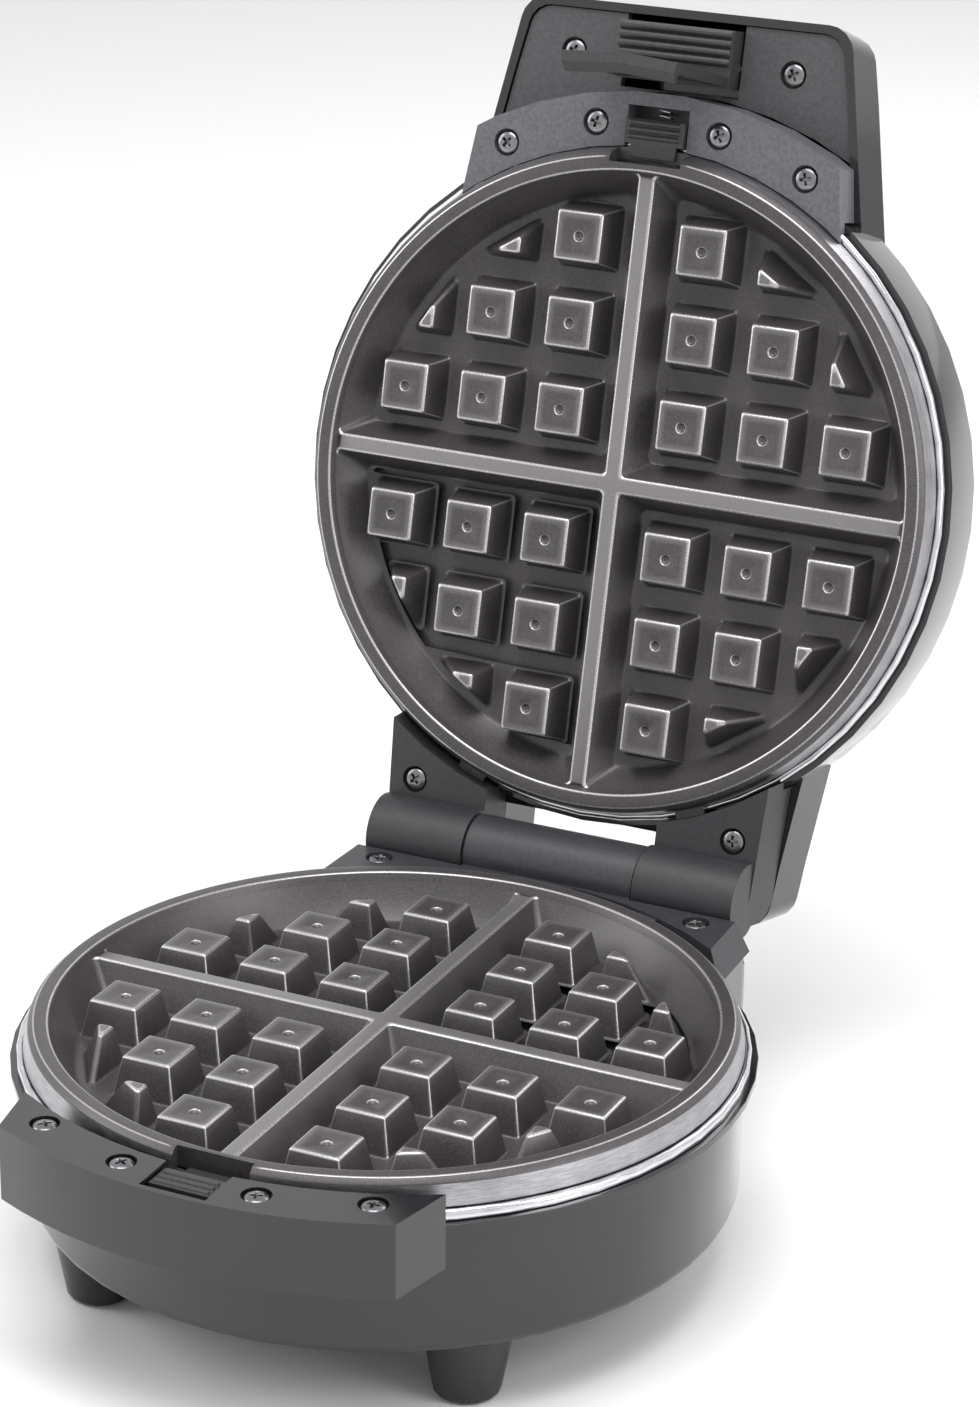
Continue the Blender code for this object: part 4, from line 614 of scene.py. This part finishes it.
def detailed_plate(name, at, body, node):
    plate = PlateMesh()
    quarters = [Matrix.Rotation(quarter * quarter_turn, 2) for quarter in range(4)]
    side = fillets(rib_run, pocket_foot_radius, pocket_top_radius)
    pockets = [plate.pocket(turn, side) for turn in quarters]
    for (floor_ring, _), bases in zip(pockets, plate.knobs(quarters)):
        plate.fill([floor_ring] + bases)
    plate.rim(plate.cross([top for _, top in pockets]))
    bmesh.ops.recalc_face_normals(plate.bm, faces=plate.bm.faces)
    # Painted edge highlight shares of the modelled vertices, looked up by place
    highlights = list(plate.wear.values())
    tree = KDTree(len(highlights))
    for index, vert in enumerate(plate.wear):
        tree.insert(vert.co, index)
    tree.balance()
    piece = new_piece(name, plate.bm, [finishes["coat"], finishes["skirt"]])
    combine(piece, 'UNION', shelf_and_tabs(name + "_tabs"))
    combine(piece, 'DIFFERENCE', block_tool(name + "_notch", [(Matrix(), notch_low, notch_high)]))
    mark_edges(piece.data, tree, highlights)
    bare_the_skirt(piece.data)
    piece.data.transform(at @ Matrix.Scale(mm, 4))
    smooth(piece, sharp_angles["plate"])
    mark_local(piece, at)
    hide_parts(node)
    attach(piece, body)


detailed_plate("base_plate_detail", base_at, "base", "base_waffle_plate")
detailed_plate("lid_plate_detail", lid_at, "lid", "lid_waffle_plate")


# Screws, in millimetres, head top at height 0
head_points = [
    (0.0, 0.0), (1.6, -0.03), (2.5, -0.18), (3.1, -0.5), (3.45, -1.0), (3.5, -1.6)]
shank_radius = 1.5
recess_top_half, recess_foot_half = (2.05, 0.52), (1.15, 0.32)
recess_top, recess_foot = 0.6, -1.45
screw_points, screw_weld = 28, 1e-4
screw_edge, screw_edge_angle = 0.07, 50.0


def cross_tool():
    """Two crossed tapered blocks that cut the recess."""
    bm = bmesh.new()
    for turn in (0.0, quarter_turn):
        for vert in bmesh.ops.create_cube(bm, size=1.0)["verts"]:
            deep = vert.co.z < 0
            half_x, half_y = recess_foot_half if deep else recess_top_half
            vert.co = Vector((
                math.copysign(half_x, vert.co.x), math.copysign(half_y, vert.co.y),
                recess_foot if deep else recess_top))
            vert.co.rotate(Matrix.Rotation(turn, 3, 'Z'))
    return new_piece("cross_tool", bm, [])


def screw_mesh(length):
    """Pan head with a cross recess, on a plain shank."""
    profile = head_points + [(shank_radius, head_points[-1][1]), (shank_radius, -length), (0.0, -length)]
    bm = bmesh.new()
    verts = [bm.verts.new((radius, 0.0, height)) for radius, height in profile]
    edges = [bm.edges.new(pair) for pair in zip(verts, verts[1:])]
    bmesh.ops.spin(
        bm, geom=verts + edges, cent=(0, 0, 0), axis=(0, 0, 1), angle=full_turn,
        steps=screw_points, use_merge=True)
    bmesh.ops.remove_doubles(bm, verts=bm.verts, dist=screw_weld)
    bmesh.ops.recalc_face_normals(bm, faces=bm.faces)
    head = new_piece("screw_master", bm, [finishes["screw"]])
    combine(head, 'DIFFERENCE', cross_tool(), use_self=True)
    bevel = head.modifiers.new("edge", 'BEVEL')
    bevel.width, bevel.segments, bevel.limit_method = screw_edge, 1, 'ANGLE'
    bevel.angle_limit = math.radians(screw_edge_angle)
    apply_modifiers(head)
    smooth(head, sharp_angles["screw"])
    mesh = head.data
    mesh.transform(Matrix.Scale(mm, 4))
    bpy.data.objects.remove(head)
    return mesh


screws = [(f"base_block_screw_{n}", base_at, "base") for n in (1, 2, 3, 4)]
screws += [(f"base_hinge_screw_{n}", base_at, "base") for n in (1, 2)]
screws += [(f"lid_arc_screw_{n}", lid_at, "lid") for n in (1, 2, 3, 4)]
screws += [(f"lid_ear_screw_{n}", lid_at, "lid") for n in (1, 2)]
screws += [(f"lid_handle_screw_{n}", lid_at, "lid") for n in (1, 2)]
screw_turns = (0.35, 1.1, 0.05, 0.8, 0.6, 0.2, 1.3, 0.45, 0.9, 0.25, 0.7, 0.1, 1.2, 0.5)
masters = {}
for (node, at, body), turn in zip(screws, screw_turns):
    low, high = local_box(node, at)
    length = round((high[2] - low[2]) / mm, 2)
    if length not in masters:
        masters[length] = screw_mesh(length)
    piece = bpy.data.objects.new(node + "_cross", masters[length].copy())
    bpy.context.scene.collection.objects.link(piece)
    centre = Matrix.Translation(((low[0] + high[0]) / 2, (low[1] + high[1]) / 2, high[2]))
    piece.matrix_world = at @ centre @ Matrix.Rotation(turn, 4, 'Z')
    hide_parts(node)
    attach(piece, body)


# Mouldings with softened edges, widths in millimetres
flat_within = math.radians(0.4)
soft_from = math.radians(28.0)
soft_segments = 3


def merge_flat_faces(bm):
    bmesh.ops.dissolve_limit(
        bm, angle_limit=flat_within, verts=bm.verts, edges=bm.edges, use_dissolve_boundaries=False)
    bmesh.ops.recalc_face_normals(bm, faces=bm.faces)


def softened(node, body, finish, width):
    """The node's own shape with its edges rounded."""
    piece = copy_of_node(node + "_soft", node, finish, merge_flat_faces)
    bevel = piece.modifiers.new("soft", 'BEVEL')
    bevel.width, bevel.segments, bevel.limit_method = width * mm, soft_segments, 'ANGLE'
    bevel.angle_limit = soft_from
    bevel.miter_outer = 'MITER_ARC'
    bevel.use_clamp_overlap = True
    bevel.harden_normals = False
    apply_modifiers(piece)
    piece.data.shade_smooth()
    weighted = piece.modifiers.new("normals", 'WEIGHTED_NORMAL')
    weighted.keep_sharp = False
    weighted.weight = 60
    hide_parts(node)
    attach(piece, body)


softened("base_housing", "base", "gloss", width=0.5)
softened("base_front_block", "base", "gloss", width=0.45)
softened("base_hinge_block", "base", "block", width=0.4)
softened("lid_cover", "lid", "gloss", width=0.5)
softened("lid_arc_block", "lid", "satin", width=0.5)
softened("lid_handle_plate", "lid", "handle", width=0.35)
softened("lid_ear_left", "lid", "ear", width=0.45)
softened("lid_ear_right", "lid", "ear", width=0.45)
softened("latch_lever", "latch", "lever", width=0.3)
softened("base_release_button", "base_button", "lever", width=0.2)
softened("lid_release_button", "lid_button", "lever", width=0.2)
softened("cord_gland", "base", "ear", width=0.3)
for foot in ("foot_front_left", "foot_front_right", "foot_rear_left", "foot_rear_right"):
    softened(foot, "base", "foot", width=0.8)


# Trim rings
def trim_ring(name, at, body, node):
    """The ring's own shape, marked for its turned finish."""
    piece = copy_of_node(name, node, "bead")
    smooth(piece, sharp_angles["ring"])
    mark_local(piece, at)
    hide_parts(node)
    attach(piece, body)


trim_ring("base_ring_detail", base_at, "base", "base_trim_ring")
trim_ring("lid_ring_detail", lid_at, "lid", "lid_trim_ring")

# Inner pieces keep their shapes and get finishes
plain = {
    "steel": ["hinge_pin", "latch_pin", "latch_spring", "base_button_spring", "lid_button_spring"],
    "sheet": ["base_reflector", "lid_reflector", "base_element_bracket", "lid_element_bracket",
              "base_thermostat", "lid_thermal_cutout"],
    "sheath": ["base_heating_element", "lid_heating_element"],
    "screw": ["base_reflector_screw_1", "base_reflector_screw_2", "lid_reflector_screw_1",
              "lid_reflector_screw_2"],
    "nylon": ["terminal_block"],
    "lead": ["element_lead_left", "element_lead_right"],
    "red": ["power_lamp_lens"],
    "green": ["ready_lamp_lens"],
}
for finish, names in plain.items():
    for name in names:
        mesh = nodes[name].data
        mesh.materials.clear()
        mesh.materials.append(finishes[finish])
        smooth(nodes[name], sharp_angles["plain"])


# Camera, solved on the photograph's grid of knobs
scene = bpy.context.scene
azimuth, elevation, roll = math.radians(25.56), math.radians(21.74), math.radians(0.58)
eye_offset = Vector((0.4377, -0.8524, 0.4731))
forward = Vector((
    -math.sin(azimuth) * math.cos(elevation), math.cos(azimuth) * math.cos(elevation),
    -math.sin(elevation)))
level = Vector((math.cos(azimuth), math.sin(azimuth), 0.0))
upright = level.cross(forward)
right = math.cos(roll) * level + math.sin(roll) * upright
up = right.cross(forward)
camera_data = bpy.data.cameras.new("camera")
camera_data.sensor_fit = 'VERTICAL'
camera_data.sensor_height = 36.0
camera_data.lens = 101.906
camera_data.clip_start, camera_data.clip_end = 0.05, 50.0
camera = bpy.data.objects.new("camera", camera_data)
scene.collection.objects.link(camera)
facing = Matrix((right, up, -forward)).transposed().to_4x4()
camera.matrix_world = Matrix.Translation(base_at.translation + eye_offset) @ facing
scene.camera = camera


# Studio: four soft boxes, a white surround and a pale floor
light_target = Vector((0.0, 0.0, 0.12))
surround_light, surround_white = 0.55, 1.0
floor_reach, floor_drop = 6.0, 0.0004


def area_light(name, place, size, power):
    data = bpy.data.lights.new(name, 'AREA')
    data.shape = 'RECTANGLE'
    data.size, data.size_y = size
    data.energy = power
    light = bpy.data.objects.new(name, data)
    scene.collection.objects.link(light)
    toward = (light_target - Vector(place)).normalized()
    light.matrix_world = (
        Matrix.Translation(place) @ toward.to_track_quat('-Z', 'Y').to_matrix().to_4x4())


area_light("overhead", place=(0.1, -0.35, 1.5), size=(1.1, 0.8), power=16.0)
area_light("left_box", place=(-1.3, -0.5, 0.75), size=(0.7, 1.1), power=9.0)
area_light("right_box", place=(1.3, -0.2, 0.7), size=(0.6, 1.1), power=8.0)
area_light("back_box", place=(0.2, 1.3, 1.0), size=(1.2, 0.6), power=6.0)


def either(tree, first, second):
    """One where either output is one."""
    node = tree.nodes.new("ShaderNodeMath")
    node.operation = 'MAXIMUM'
    tree.links.new(first, node.inputs[0])
    tree.links.new(second, node.inputs[1])
    return node.outputs[0]


world = bpy.data.worlds.new("studio")
scene.world = world
world.use_nodes = True
tree = world.node_tree
background = tree.nodes["Background"]
path = tree.nodes.new("ShaderNodeLightPath")
seen = either(tree, path.outputs["Is Camera Ray"], path.outputs["Is Transmission Ray"])
seen = either(tree, seen, path.outputs["Is Glossy Ray"])
strength = tree.nodes.new("ShaderNodeMapRange")
strength.inputs["To Min"].default_value = surround_light
strength.inputs["To Max"].default_value = surround_white
tree.links.new(seen, strength.inputs["Value"])
tree.links.new(strength.outputs["Result"], background.inputs["Strength"])
background.inputs["Color"].default_value = (1.0, 1.0, 1.0, 1.0)

bm = bmesh.new()
bmesh.ops.create_circle(bm, cap_ends=True, segments=96, radius=floor_reach)
floor = new_piece("studio_floor", bm, [])
floor.location.z = -floor_drop
ground = Finish("pale_floor", (0.93, 0.93, 0.93), 0.6)
ground.roughness(ground.ramp(ground.noise(scale=30.0), low=0.3, high=0.7, start=0.55, stop=0.7))
floor.data.materials.append(ground.material)

scene.view_settings.view_transform = 'Standard'
